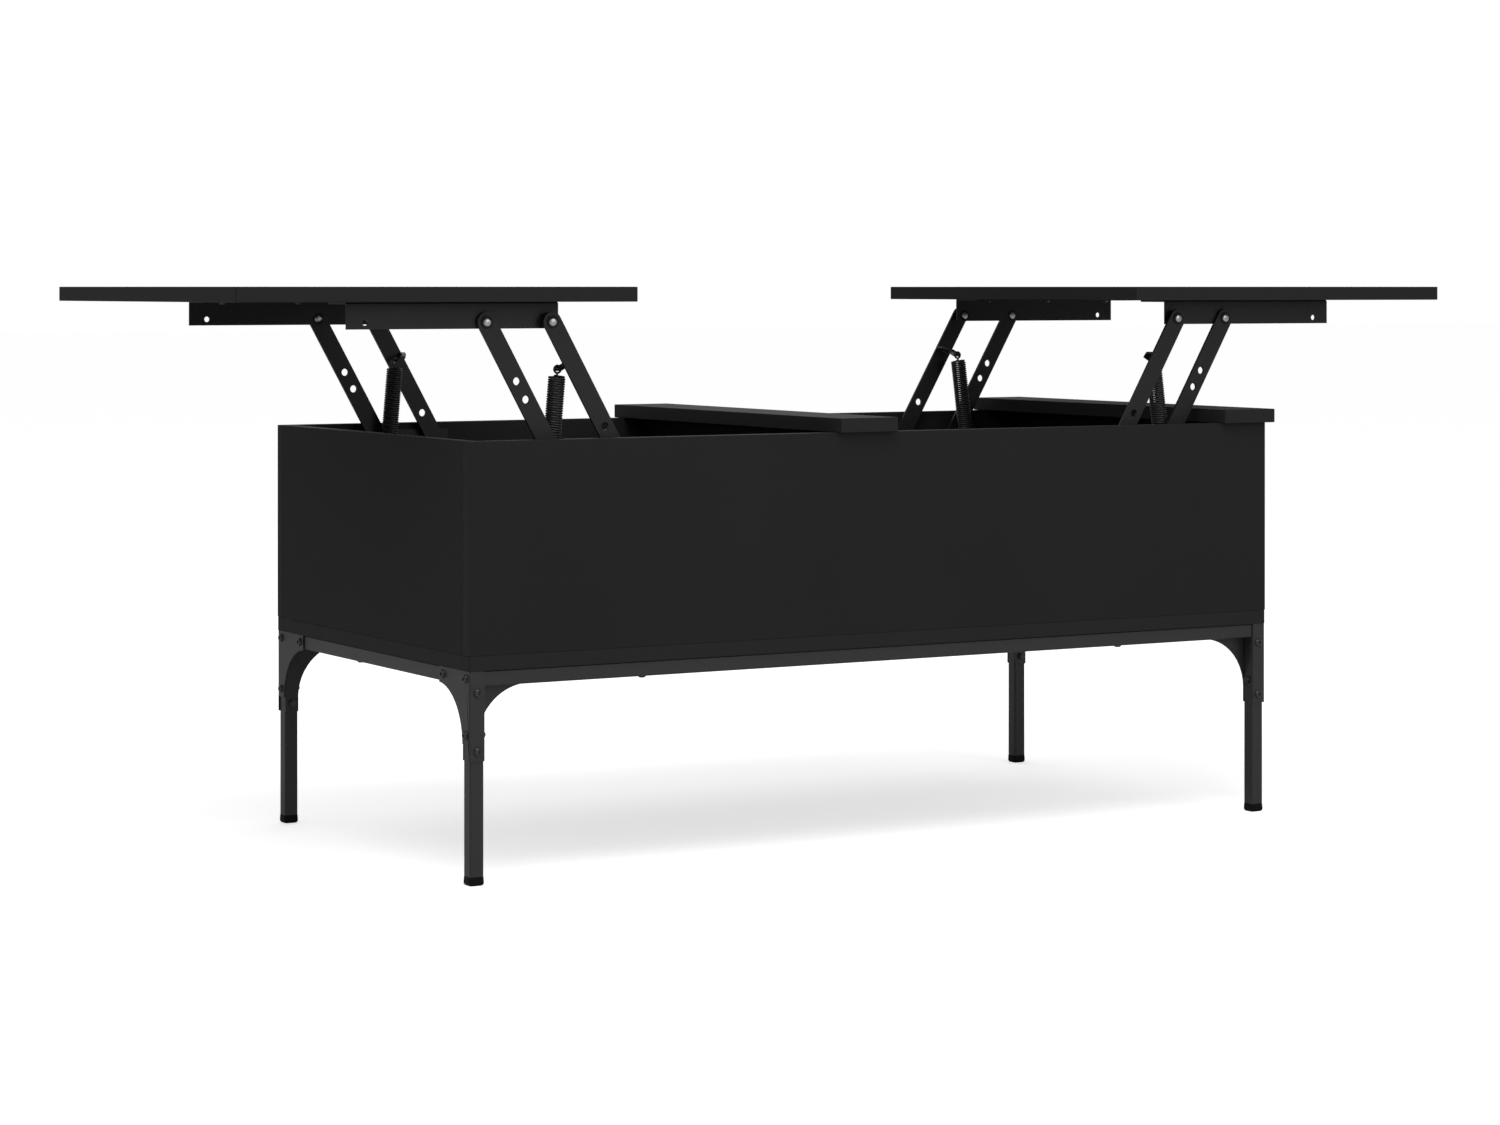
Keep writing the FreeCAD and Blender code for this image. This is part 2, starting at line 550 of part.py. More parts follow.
def make_lid_rail(side, end, screws):
    """Angle rail under a lid: a hanging web that carries the pins and a flange for screws."""
    sx = SIDES[side]
    rail = body(f"{side}_{end}_lid_rail_angle")
    inner = "(Layout.inner_pin_out - Sizes.rail_overlap)"
    start, stop = flip(sx, inner), flip(sx, f"{inner} + Sizes.rail_length")
    under = "Layout.lid_under"
    web = span(end, "Sizes.rail_at", "Sizes.rail_at + Sizes.rail_sheet")
    pin = "Sizes.pin_diameter / 2"
    hole_out = flip(sx, f"{inner} + Sizes.rail_length - Sizes.rail_hole_inset")
    pad(rail, "XZ", *web, rectangle(start, f"{under} - Sizes.rail_height", stop, under), (
        (flip(sx, "Layout.inner_pin_out"), "Layout.lid_pivot_z", pin),
        (flip(sx, "Layout.outer_pin_out"), "Layout.lid_pivot_z", pin),
        (hole_out, "Layout.lid_pivot_z", "Sizes.rail_hole / 2")))
    flange = span(end, "Sizes.rail_at", "Sizes.rail_at + Sizes.rail_flange")
    pad(rail, "XZ", *flange, rectangle(start, f"{under} - Sizes.rail_sheet", stop, under))
    return node(cut(f"{side}_{end}_lid_rail", rail, [screws]), f"{side}_{end}_lid_rail")


def make_arm(side, end, which):
    """A flat arm, drawn along +X from its base pivot, then set at its raised angle."""
    sx, sy = SIDES[side], ENDS[end]
    arm = body(f"{side}_{end}_{which}_arm")
    length, half = f"Sizes.{side}_arm_length", "Sizes.arm_width / 2"
    layer = f"Sizes.{which}_arm_at"
    running = "Sizes.pin_diameter / 2 + Sizes.pin_clearance"
    far_hole = running if which == "inner" else "Sizes.pin_diameter / 2 + Sizes.open_pin_clearance"
    holes = [("0", "0", running), (length, "0", far_hole)]
    if which == "outer":
        for step in (0, 1):
            along = f"{length} - Sizes.arm_hole_first - {step} * Sizes.arm_hole_pitch"
            holes.append((along, "0", "Sizes.arm_hole / 2"))
    else:
        holes.append((f"{length} - Sizes.inner_hole_at", "0", "Sizes.arm_hole / 2"))
    low, high = ("0", "Sizes.arm_sheet") if sy < 0 else ("-Sizes.arm_sheet", "0")
    pad(arm, "XZ", low, high, lambda sketch: add_slot(sketch, length, half), holes)
    if which == "inner":
        add_lug(arm, side, end)
    # the angle of the raised arm, turned about Y, on the side of the table it serves
    elevation = f"Layout.{side}_elevation"
    arm.Placement = FreeCAD.Placement(V(), FreeCAD.Rotation(V(0, 1, 0), 10))
    turn = f"-{elevation}" if sx > 0 else f"{elevation} - 180 deg"
    arm.setExpression("Placement.Rotation.Angle", turn)
    bind(arm, x=flip(sx, f"Layout.{side}_base_{which}"), y=across(end, layer), z=f"Layout.{side}_base_z")
    return node(arm, arm.Name)


def add_lug(arm, side, end):
    """A bent lug that reaches in past the rail's edge and carries the spring's hook."""
    sx, sy = SIDES[side], ENDS[end]
    along = f"(Sizes.{side}_arm_length - Sizes.lug_from_pivot)"
    low, high = f"{along} - Sizes.lug_sheet / 2", f"{along} + Sizes.lug_sheet / 2"
    half = "Sizes.arm_width / 2"
    def over(text):
        return flip(-sy, f"{text} - Sizes.inner_arm_at")

    def up(text):
        """Local Z of a height above the arm's middle line once the lid is shut."""
        return flip(-sx, text)

    neck = f"Sizes.lug_neck_height - {half}"
    points = (
        (over("Sizes.inner_arm_at"), up(f"-{half}")), (over("Sizes.lug_upright_at"), up(f"-{half}")),
        (over("Sizes.lug_end_at"), up("-0.1 * Sizes.arm_width")), (over("Sizes.lug_end_at"), up(half)),
        (over("Sizes.lug_upright_at"), up(half)), (over("Sizes.lug_upright_at"), up(neck)),
        (over("Sizes.inner_arm_at"), up(neck)))
    hole = (over("Sizes.spring_at"), up("Layout.hook_rise - Layout.hook_ring"), "Sizes.spring_hole / 2")
    pad(arm, "YZ", low, high, polygon(*points), (hole,))


def make_base_plate(side, end, screws, pins):
    """Plate screwed to the panel, with a foot flange that holds the spring's lower hook."""
    sx = SIDES[side]
    plate = body(f"{side}_{end}_base_plate_angle")
    inner = flip(sx, f"Layout.{side}_base_inner - Sizes.plate_margin")
    outer = flip(sx, f"Layout.{side}_base_outer + Sizes.{side}_anchor_out + Sizes.plate_margin")
    centre_z = f"Layout.{side}_base_z"
    # the spring's ring goes round the flange's inner edge, so it is centred in that edge
    bottom = f"Layout.{side}_anchor_z - Sizes.plate_sheet / 2"
    web = span(end, "0", "Sizes.plate_sheet")
    pad(plate, "XZ", *web, rectangle(inner, bottom, outer, f"{centre_z} + Sizes.plate_margin"))
    flange_in = flip(sx, f"Layout.{side}_anchor_out - Sizes.hook_strip / 2")
    flange = span(end, "0", "Sizes.plate_flange_end")
    pad(plate, "XZ", *flange, rectangle(flange_in, bottom, outer, f"{bottom} + Sizes.plate_sheet"))
    hook_hole = rod(f"{plate.Name}_hook_hole",
                    (flip(sx, f"Layout.{side}_anchor_out + Layout.hook_ring"),
                     across(end, "Sizes.spring_at"), bottom),
                    "z", "Sizes.spring_hole / 2", "2 * Sizes.plate_sheet")
    name = f"{side}_{end}_base_plate"
    return node(cut(name, plate, [hook_hole, screws, pins]), name)


def plate_screw_spots(side):
    """Where the plate screws go, as expressions outward and upward."""
    inner = f"Layout.{side}_base_inner"
    outer = f"(Layout.{side}_base_outer + Sizes.{side}_anchor_out)"
    low = f"Layout.{side}_base_z - 0.6 * Sizes.plate_drop"
    return (
        (f"{inner} - 0.3 * Sizes.plate_margin", low),
        (f"{inner} + 0.5 * Sizes.pivot_spacing", low),
        (f"{outer} + 0.3 * Sizes.plate_margin", low),
        (f"{inner} + 0.5 * Sizes.pivot_spacing", f"Layout.{side}_base_z + 0.3 * Sizes.plate_margin"),
    )


def make_plate_screws():
    """Screws that hold all four base plates to the front and back panels."""
    screws = []
    for side, sx in SIDES.items():
        for end, sy in ENDS.items():
            inward, outward = ("y", "-y") if sy < 0 else ("-y", "y")
            for along, level in plate_screw_spots(side):
                number = len(screws)
                spot = (flip(sx, along), across(end, "Sizes.plate_sheet"), level)
                shank = rod(f"plate_shank{number}", spot, outward, "Sizes.screw_shank / 2",
                            "Sizes.plate_sheet + Sizes.screw_reach")
                head = rod(f"plate_head{number}", spot, inward, "Sizes.screw_head / 2", "Sizes.screw_head_height")
                screws.append(group(f"plate_screw{number}", [shank, head]))
    return node(group("base_plate_screws", screws), "base_plate_screws")


def stepped_pin(name, spot, end, start, stop, discs):
    """A pin across the table from one distance to another, with heads or sleeves as discs."""
    inward = "y" if ENDS[end] < 0 else "-y"
    along, level = spot

    def bar(label, low, high, diameter):
        return rod(f"{name}_{label}", (along, across(end, low), level), inward,
                   f"({diameter}) / 2", f"({high}) - ({low})")

    parts = [bar("shaft", start, stop, "Sizes.pin_diameter")]
    for number, (low, high, diameter) in enumerate(discs):
        parts.append(bar(f"disc{number}", low, high, diameter))
    return group(name, parts)


def make_base_pins(side):
    """Rivets set in the base plates: a spacer behind each arm and a flat head in front."""
    pins = []
    for end in ENDS:
        for which in ("inner", "outer"):
            layer = f"Sizes.{which}_arm_at"
            spot = (flip(SIDES[side], f"Layout.{side}_base_{which}"), f"Layout.{side}_base_z")
            shoulder = f"{layer} - Sizes.side_play"
            head = f"{layer} + Sizes.arm_sheet + Sizes.side_play"
            discs = (("Sizes.plate_sheet", shoulder, "Sizes.sleeve_diameter"),
                     (head, f"{head} + Sizes.flat_head_height", "Sizes.pin_head"))
            pins.append(stepped_pin(f"{side}_{end}_{which}_base_pin", spot, end, "0", head, discs))
    return node(group(f"{side}_base_pins", pins), f"{side}_base_pins")


def make_lid_pins(side):
    """Rivets set in the lid rails: a head outside each arm and a spacer up to the web."""
    pins = []
    for end in ENDS:
        for which in ("inner", "outer"):
            layer = f"Sizes.{which}_arm_at"
            spot = (flip(SIDES[side], f"Layout.{which}_pin_out"), "Layout.lid_pivot_z")
            head = f"{layer} - Sizes.side_play"
            shoulder = f"{layer} + Sizes.arm_sheet + Sizes.side_play"
            back = "Sizes.rail_at + Sizes.rail_sheet"
            discs = ((f"{head} - Sizes.pin_head_height", head, "Sizes.pin_head"),
                     (shoulder, "Sizes.rail_at", "Sizes.sleeve_diameter"),
                     (back, f"{back} + Sizes.flat_head_height", "Sizes.pin_head"))
            pins.append(stepped_pin(f"{side}_{end}_{which}_lid_pin", spot, end, head, back, discs))
    return node(group(f"{side}_lid_pins", pins), f"{side}_lid_pins")


def spring_ring(name, spot, wire):
    """A wire eye in the XZ plane, round the strip of metal beside a hook hole."""
    eye = doc.addObject("Part::Torus", name)
    eye.Placement = FreeCAD.Placement(V(), FreeCAD.Rotation(V(1, 0, 0), 90))
    bind(eye, x=spot[0], y=spot[1], z=spot[2], Radius1="Layout.hook_ring", Radius2=wire)
    return eye


def make_springs(side):
    """Two tension springs: the coils with their lower hooks, and the upper hooks."""
    sx = SIDES[side]
    lean, length = f"Layout.{side}_spring_lean", f"Layout.{side}_spring_length"
    anchor_x, anchor_z = flip(sx, f"Layout.{side}_anchor_out"), f"Layout.{side}_anchor_z"
    toward_x, toward_z = flip(-sx, f"sin({lean})"), f"cos({lean})"
    wire = "Sizes.spring_wire / 2"
    coils, hooks = [], []
    for end in ENDS:
        over = across(end, "Sizes.spring_at")

        def at(distance, place=over):
            """A point on the spring's line, a distance up from the anchor."""
            return (f"{anchor_x} + ({distance}) * {toward_x}", place, f"{anchor_z} + ({distance}) * {toward_z}")

        def bar(name, start, size, radius, place=over):
            piece = doc.addObject("Part::Cylinder", name)
            piece.Placement = FreeCAD.Placement(V(), FreeCAD.Rotation(V(0, 1, 0), 10))
            piece.setExpression("Placement.Rotation.Angle", flip(-sx, lean))
            spot = at(start, place)
            return bind(piece, x=spot[0], y=spot[1], z=spot[2], Radius=radius, Height=size)

        name = f"{side}_{end}_spring"
        hook, outside = "Sizes.hook_length", "Sizes.spring_diameter / 2"
        coil = f"{length} - 2 * {hook} - Sizes.spring_wire - Sizes.turn_gap"
        outer = bar(f"{name}_outer", hook, coil, outside)
        bore = bar(f"{name}_bore", f"{hook} + Sizes.spring_wire", coil, f"{outside} - Sizes.spring_wire")
        ring = spring_ring(f"{name}_lower_ring", at("0"), wire)
        leg = bar(f"{name}_lower_leg", "Layout.hook_ring", f"{hook} - Layout.hook_ring + {wire}", wire)
        coils.append(group(f"{name}_coil", [cut(f"{name}_tube", outer, [bore]), leg, ring]))
        last = f"{length} - {hook} - Sizes.spring_wire"
        turn = bar(f"{name}_last_turn", last, "Sizes.spring_wire", outside)
        leg = bar(f"{name}_upper_leg", last, f"{hook} + Sizes.spring_wire - Layout.hook_ring", wire)
        ring = spring_ring(f"{name}_upper_ring", at(length), wire)
        hooks.append(group(f"{name}_hook", [turn, leg, ring]))
    node(group(f"{side}_spring_coils", coils), f"{side}_spring_coils")
    node(group(f"{side}_spring_hooks", hooks), f"{side}_spring_hooks")


# ---------------------------------------------------------------- the whole table
dowels = make_dowels()
plate_screws = make_plate_screws()
board_screws = make_board_screws()
frame_bolts = make_bolts()
lid_screws = {side: make_lid_screws(side) for side in SIDES}
make_boards(dowels, plate_screws, board_screws)
make_legs(frame_bolts)
make_apron_rails([frame_bolts, board_screws])
make_foot_caps()
make_brackets(frame_bolts)
make_gussets(frame_bolts)
make_lids(lid_screws)
for side in SIDES:
    base_pins = make_base_pins(side)
    make_lid_pins(side)
    for end in ENDS:
        make_lid_rail(side, end, lid_screws[side])
        make_base_plate(side, end, plate_screws, base_pins)
        make_arm(side, end, "outer")
        make_arm(side, end, "inner")
    make_springs(side)

doc.recompute()
for item in doc.Objects:
    if "Invalid" in item.State or "Error" in item.State:
        raise RuntimeError(f"{item.Name} ({item.Label}) failed: {item.State}")
for item in nodes:
    if item.Shape.isNull() or not item.Shape.isValid() or not item.Shape.Solids:
        raise RuntimeError(f"{item.Label} has no valid solid")

os.makedirs("parts", exist_ok=True)
for item in nodes:
    item.Shape.exportStep(os.path.join("parts", f"{item.Label}.step"))
print(len(nodes), "nodes")
for alias in LAYOUT:
    print(alias, layout.get(alias))
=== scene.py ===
import json
import math

import bmesh
import bpy
from bpy.props import FloatProperty, FloatVectorProperty, IntProperty, PointerProperty
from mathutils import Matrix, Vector

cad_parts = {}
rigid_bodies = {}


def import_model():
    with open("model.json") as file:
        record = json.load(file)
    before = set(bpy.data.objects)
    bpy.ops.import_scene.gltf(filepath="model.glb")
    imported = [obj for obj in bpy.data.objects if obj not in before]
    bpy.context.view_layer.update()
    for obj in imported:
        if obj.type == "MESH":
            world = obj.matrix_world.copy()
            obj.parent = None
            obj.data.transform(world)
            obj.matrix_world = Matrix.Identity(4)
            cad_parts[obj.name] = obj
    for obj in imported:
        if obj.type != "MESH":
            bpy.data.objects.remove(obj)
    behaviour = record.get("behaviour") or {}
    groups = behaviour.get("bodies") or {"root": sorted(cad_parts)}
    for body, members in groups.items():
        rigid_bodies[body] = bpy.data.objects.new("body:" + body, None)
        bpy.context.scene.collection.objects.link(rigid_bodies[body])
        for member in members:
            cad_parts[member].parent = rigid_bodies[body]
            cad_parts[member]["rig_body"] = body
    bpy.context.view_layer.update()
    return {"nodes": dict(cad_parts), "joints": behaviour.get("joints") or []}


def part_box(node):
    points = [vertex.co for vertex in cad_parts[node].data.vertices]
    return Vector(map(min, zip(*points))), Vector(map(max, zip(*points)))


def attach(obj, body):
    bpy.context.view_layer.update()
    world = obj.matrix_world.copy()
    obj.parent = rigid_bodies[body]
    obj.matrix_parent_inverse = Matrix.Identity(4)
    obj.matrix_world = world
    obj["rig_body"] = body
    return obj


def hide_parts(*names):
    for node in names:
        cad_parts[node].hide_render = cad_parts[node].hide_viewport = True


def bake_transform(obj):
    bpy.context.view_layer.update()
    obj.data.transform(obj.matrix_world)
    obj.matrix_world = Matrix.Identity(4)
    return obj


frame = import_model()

bl_info = {
    "name": "Lift top coffee table",
    "version": (1, 0, 0),
    "blender": (4, 5, 0),
    "location": "3D View > Sidebar > Table",
    "description": "Finished boards, tube frame, folding arms, springs and fixings of a lift top table",
    "category": "Object",
}

NODES = frame["nodes"]
JOINTS = {joint["name"]: joint for joint in frame["joints"]}
SIDES = ("left", "right")
ENDS = ("front", "back")
MM = 0.001
SMOOTH_ANGLE = math.radians(32)
MERGE_DISTANCE = 0.001 * MM
SAME_PLACE = 1e-5  # metres within which two places count as one

SPRING_EYE = 3.7 * MM  # middle radius of the ring at each end of a spring
SPRING_HOOK = 7.5 * MM  # from the middle of that ring to the first turn
BOLT_RADIUS = 2.5 * MM
BOLT_END = 1.0 * MM  # how far a bolt stands out of its nut
RIVET_EASE = 0.25 * MM  # chamfer of the washers and spacers
DOME_HEIGHT = 0.62  # share of a rivet head's height that its bright dome takes
DOME_RADIUS = 0.66  # the same of its radius


# ---------------------------------------------------------------- settings
def length(name, description, default):
    """A size in metres that a user may change."""
    return FloatProperty(name=name, description=description, default=default, min=0.0,
                         subtype="DISTANCE", unit="LENGTH", precision=5)


def colour(name, description, grey, tint=(1.0, 1.0, 1.0)):
    """A finish colour that a user may change."""
    return FloatVectorProperty(name=name, description=description, subtype="COLOR", size=3,
                               min=0.0, max=1.0, default=[grey * part for part in tint])


class TableSizes(bpy.types.PropertyGroup):
    """Small sizes that finish the parts."""
    board_round: length("Board edge", "Rounding of the banded board edges", 0.7 * MM)
    board_corner: length("Board corner", "Plan radius at the corners of tops and base", 2.2 * MM)
    tube_round: length("Tube corner", "Outer corner radius of the square tubes", 1.8 * MM)
    sheet_round: length("Sheet edge", "Rounding of stamped sheet edges", 0.35 * MM)
    bend_round: length("Bend", "Outer radius of bent sheet", 2.0 * MM)
    foot_corner: length("Foot corner", "Corner radius of the foot caps", 2.4 * MM)
    drive_depth: length("Drive depth", "Depth of the screw and bolt drives", 1.3 * MM)
    wire_pitch: length("Coil pitch", "Distance between spring turns", 2.45 * MM)
    wire: length("Spring wire", "Diameter of the spring wire", 2.2 * MM)
    ring_sides: IntProperty(name="Ring sides", description="Faces round a pin or rivet head",
                            default=40, min=12, max=96)


class TableColours(bpy.types.PropertyGroup):
    """Base colours of the finishes."""
    laminate: colour("Laminate", "Faces of the boards", 0.0148)
    # a shade lighter than the laminate: the band's own tone plus a painted highlight along the board edges
    band: colour("Edge band", "Edges of the boards", 0.0155)
    powder: colour("Frame coat", "Powder coat on the tube frame", 0.0164)
    arm_paint: colour("Arm coat", "Coat on arms, rails and plates", 0.0090)
    spring: colour("Spring coat", "Coat on the springs", 0.0160)
    rivet: colour("Rivets", "Worn steel of the rivet heads", 0.30, (1.0, 0.99, 0.97))
    washer: colour("Washers", "Blackened steel round the rivet heads", 0.005)
    screw: colour("Screws", "Black zinc of screws and bolts", 0.030)
    foot: colour("Feet", "Plastic of the foot caps", 0.0040)
    wood: colour("Dowels", "Beech of the dowels", 1.0, (0.52, 0.35, 0.19))


def sizes():
    return bpy.context.scene.lift_table_sizes


def colours():
    return bpy.context.scene.lift_table_colours


# ---------------------------------------------------------------- node trees
class Tree:
    """A node tree in the making: nodes are added with their inputs, by socket name."""

    def __init__(self, tree):
        self.tree = tree
        self.nodes = tree.nodes

    def add(self, kind, settings=None, **inputs):
        """Add a node; an input is a value, or the output socket that feeds it."""
        node = self.nodes.new(kind)
        for name, value in (settings or {}).items():
            setattr(node, name, value)
        for name, value in inputs.items():
            self.feed(self.socket(node, name), value)
        return node

    def socket(self, node, name):
        """An input by index, written _0, or by name with _ for a space."""
        if name.startswith("_"):
            return node.inputs[int(name[1:])]
        return node.inputs[name.replace("_", " ")]

    def feed(self, socket, value):
        """Link an output socket into an input, or set the input's own value."""
        if isinstance(value, bpy.types.NodeSocket):
            self.tree.links.new(value, socket)
        else:
            socket.default_value = value

    def math(self, operation, first, second=0.0, third=0.0):
        """One arithmetic node."""
        node = self.add("ShaderNodeMath", {"operation": operation}, _0=first, _1=second, _2=third)
        return node.outputs[0]


def group_tree(name, kind, inputs, outputs):
    """A new node group with its sockets; returns the builder and its two end nodes."""
    tree = bpy.data.node_groups.new(name, kind)
    for label, socket, default in inputs:
        item = tree.interface.new_socket(label, in_out="INPUT", socket_type=socket)
        if default is not None:
            item.default_value = default
    for label, socket in outputs:
        tree.interface.new_socket(label, in_out="OUTPUT", socket_type=socket)
    builder = Tree(tree)
    return builder, tree.nodes.new("NodeGroupInput"), tree.nodes.new("NodeGroupOutput")


def surface_group():
    """Shared finish: fine texture height, a soft blotch mask and tinted colour."""
    name = "surface_finish"
    if name in bpy.data.node_groups:
        return bpy.data.node_groups[name]
    t, given, result = group_tree(name, "ShaderNodeTree", (
        ("Colour", "NodeSocketColor", (0.02, 0.02, 0.02, 1)), ("Grain Scale", "NodeSocketFloat", 900.0),
        ("Grain Stretch", "NodeSocketVector", (1, 1, 1)), ("Variation", "NodeSocketFloat", 0.12),
        ("Dust", "NodeSocketFloat", 0.0), ("Roughness", "NodeSocketFloat", 0.45),
        ("Roughness Spread", "NodeSocketFloat", 0.08)),
        (("Colour", "NodeSocketColor"), ("Roughness", "NodeSocketFloat"), ("Height", "NodeSocketFloat")))
    place = t.add("ShaderNodeTexCoord").outputs["Object"]
    stretched = t.add("ShaderNodeVectorMath", {"operation": "MULTIPLY"}, _0=place,
                      _1=given.outputs["Grain Stretch"]).outputs[0]
    fine = t.add("ShaderNodeTexNoise", Vector=stretched, Scale=given.outputs["Grain Scale"], Detail=3.0,
                 Roughness=0.6).outputs[0]
    blotch = t.add("ShaderNodeTexNoise", Vector=place, Scale=7.0, Detail=4.0, Roughness=0.55).outputs[0]
    mixed = t.math("ADD", t.math("MULTIPLY", fine, 0.55), t.math("MULTIPLY", blotch, 0.45))
    centred = t.math("SUBTRACT", mixed, 0.5)
    gain = t.math("MULTIPLY_ADD", centred, t.math("MULTIPLY", given.outputs["Variation"], 4.0), 1.0)
    tinted = t.add("ShaderNodeVectorMath", {"operation": "SCALE"}, _0=given.outputs["Colour"],
                   Scale=gain).outputs[0]
    # dust settles on faces that look up
    up = t.add("ShaderNodeSeparateXYZ", _0=t.add("ShaderNodeNewGeometry").outputs["Normal"]).outputs[2]
    settled = t.math("MULTIPLY", t.math("MAXIMUM", up, 0.0), given.outputs["Dust"])
    speck = t.add("ShaderNodeTexNoise", Vector=place, Scale=260.0, Detail=2.0).outputs[0]
    dust = t.math("MULTIPLY", settled, t.math("MULTIPLY", speck, speck))
    dusted = t.add("ShaderNodeMix", {"data_type": "RGBA"}, _0=dust)
    t.feed(dusted.inputs[6], tinted)
    t.feed(dusted.inputs[7], (0.35, 0.34, 0.32, 1))
    rough = t.math("MULTIPLY_ADD", t.math("SUBTRACT", blotch, 0.5),
                   t.math("MULTIPLY", given.outputs["Roughness Spread"], 2.0), given.outputs["Roughness"])
    t.feed(result.inputs["Colour"], dusted.outputs[2])
    t.feed(result.inputs["Roughness"], rough)
    t.feed(result.inputs["Height"], fine)
    return t.tree


def new_material(name):
    """An empty material with a Principled shader; returns material, builder and shader."""
    material = bpy.data.materials.new(name)
    material.use_nodes = True
    material.node_tree.nodes.clear()
    t = Tree(material.node_tree)
    shader = t.add("ShaderNodeBsdfPrincipled")
    t.add("ShaderNodeOutputMaterial", Surface=shader.outputs[0])
    return material, t, shader


def coated(name, tone, grain=900.0, stretch=(1, 1, 1), variation=0.12, dust=0.0, rough=0.45, spread=0.08,
           bump=0.15, depth=0.15 * MM, specular=0.5, metallic=0.0, coat=0.0, coat_rough=0.3):
    """A finish made from the shared surface group, with its own values."""
    if name in bpy.data.materials:
        return bpy.data.materials[name]
    material, t, shader = new_material(name)
    finish = t.add("ShaderNodeGroup", {"node_tree": surface_group()}, Colour=(*tone, 1), Grain_Scale=grain,
                   Grain_Stretch=stretch, Variation=variation, Dust=dust, Roughness=rough,
                   Roughness_Spread=spread)
    relief = t.add("ShaderNodeBump", Strength=bump, Distance=depth, Height=finish.outputs["Height"])
    t.feed(shader.inputs["Base Color"], finish.outputs["Colour"])
    t.feed(shader.inputs["Roughness"], finish.outputs["Roughness"])
    t.feed(shader.inputs["Normal"], relief.outputs[0])
    shader.inputs["Specular IOR Level"].default_value = specular
    shader.inputs["Metallic"].default_value = metallic
    shader.inputs["Coat Weight"].default_value = coat
    shader.inputs["Coat Roughness"].default_value = coat_rough
    return material


def laminate():
    return coated("laminate_black", colours().laminate, grain=1100, variation=0.10, dust=0.02, rough=0.46,
                  spread=0.05, bump=0.22, depth=0.12 * MM, specular=0.02)


# the band's lighter colour is partly a painted highlight along the board edges
def edge_band():
    return coated("edge_band_black", colours().band, grain=500, stretch=(0.25, 0.25, 1.6), variation=0.09,
                  rough=0.54, spread=0.05, bump=0.18, depth=0.10 * MM, specular=0.04)


def powder_coat():
    return coated("powder_coat_black", colours().powder, grain=1500, variation=0.14, dust=0.02, rough=0.42,
                  spread=0.07, bump=0.35, depth=0.16 * MM, specular=0.24)


def arm_coat():
    return coated("arm_coat_black", colours().arm_paint, grain=1300, variation=0.14, rough=0.40, spread=0.08,
                  bump=0.28, depth=0.14 * MM, specular=0.17)


def spring_coat():
    return coated("spring_coat_black", colours().spring, grain=1800, variation=0.15, rough=0.40, spread=0.08,
                  bump=0.15, depth=0.08 * MM, specular=0.28)


def rivet_steel():
    return coated("rivet_steel", colours().rivet, grain=700, variation=0.25, rough=0.30, spread=0.10,
                  bump=0.12, depth=0.08 * MM, metallic=1.0)


def washer_black():
    return coated("washer_black", colours().washer, grain=900, variation=0.2, rough=0.38, spread=0.1,
                  bump=0.12, depth=0.08 * MM, specular=0.10)


def screw_black():
    return coated("screw_black_zinc", colours().screw, grain=1500, variation=0.2, rough=0.34, spread=0.1,
                  bump=0.15, depth=0.08 * MM, metallic=0.6)


def foot_plastic():
    return coated("foot_plastic_black", colours().foot, grain=1400, variation=0.1, rough=0.55, spread=0.06,
                  bump=0.30, depth=0.12 * MM, specular=0.05)


def dowel_wood():
    return coated("dowel_beech", colours().wood, grain=380, stretch=(1, 1, 0.08), variation=0.22, rough=0.6,
                  bump=0.2, depth=0.15 * MM)


# ---------------------------------------------------------------- mesh helpers
def body_name(node):
    """The rigid body that a CAD node belongs to."""
    return NODES[node]["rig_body"]


def merged_mesh(node):
    """A copy of a CAD node's mesh with its doubled points merged."""
    bm = bmesh.new()
    bm.from_mesh(NODES[node].data)
    bmesh.ops.remove_doubles(bm, verts=bm.verts, dist=MERGE_DISTANCE)
    return bm


def cad_mesh(node):
    """A merged copy of a CAD node's mesh, with its flat faces joined up."""
    bm = merged_mesh(node)
    bmesh.ops.dissolve_limit(bm, angle_limit=math.radians(0.5), verts=bm.verts, edges=bm.edges,
                             use_dissolve_boundaries=False)
    return bm


def islands(node):
    """The separate solids of a CAD node: each a list of faces, every face a list of points."""
    bm = merged_mesh(node)
    seen, solids = set(), []
    for start in bm.verts:
        if start in seen:
            continue
        stack, faces = [start], set()
        seen.add(start)
        while stack:
            here = stack.pop()
            faces.update(here.link_faces)
            for edge in here.link_edges:
                other = edge.other_vert(here)
                if other not in seen:
                    seen.add(other)
                    stack.append(other)
        solids.append([[v.co.copy() for v in face.verts] for face in faces])
    bm.free()
    return solids


def span(points):
    """Lowest and highest corner of some points."""
    low = Vector([min(p[axis] for p in points) for axis in range(3)])
    high = Vector([max(p[axis] for p in points) for axis in range(3)])
    return low, high


def clean(bm):
    """Merge doubled points and drop faces that have no area."""
    bmesh.ops.remove_doubles(bm, verts=bm.verts, dist=MERGE_DISTANCE)
    bmesh.ops.dissolve_degenerate(bm, dist=MERGE_DISTANCE, edges=bm.edges)


def new_object(name, bm, materials):
    """A finished piece from a bmesh: normals out, smooth with crisp edges."""
    clean(bm)
    bmesh.ops.recalc_face_normals(bm, faces=bm.faces)
    mesh = bpy.data.meshes.new(name)
    bm.to_mesh(mesh)
    bm.free()
    for material in materials:
        mesh.materials.append(material)
    mesh.shade_smooth()
    mesh.set_sharp_from_angle(angle=SMOOTH_ANGLE)
    piece = bpy.data.objects.new(name, mesh)
    bpy.context.scene.collection.objects.link(piece)
    modifier = piece.modifiers.new("even_shading", "WEIGHTED_NORMAL")
    modifier.keep_sharp = True
    return bake(piece)


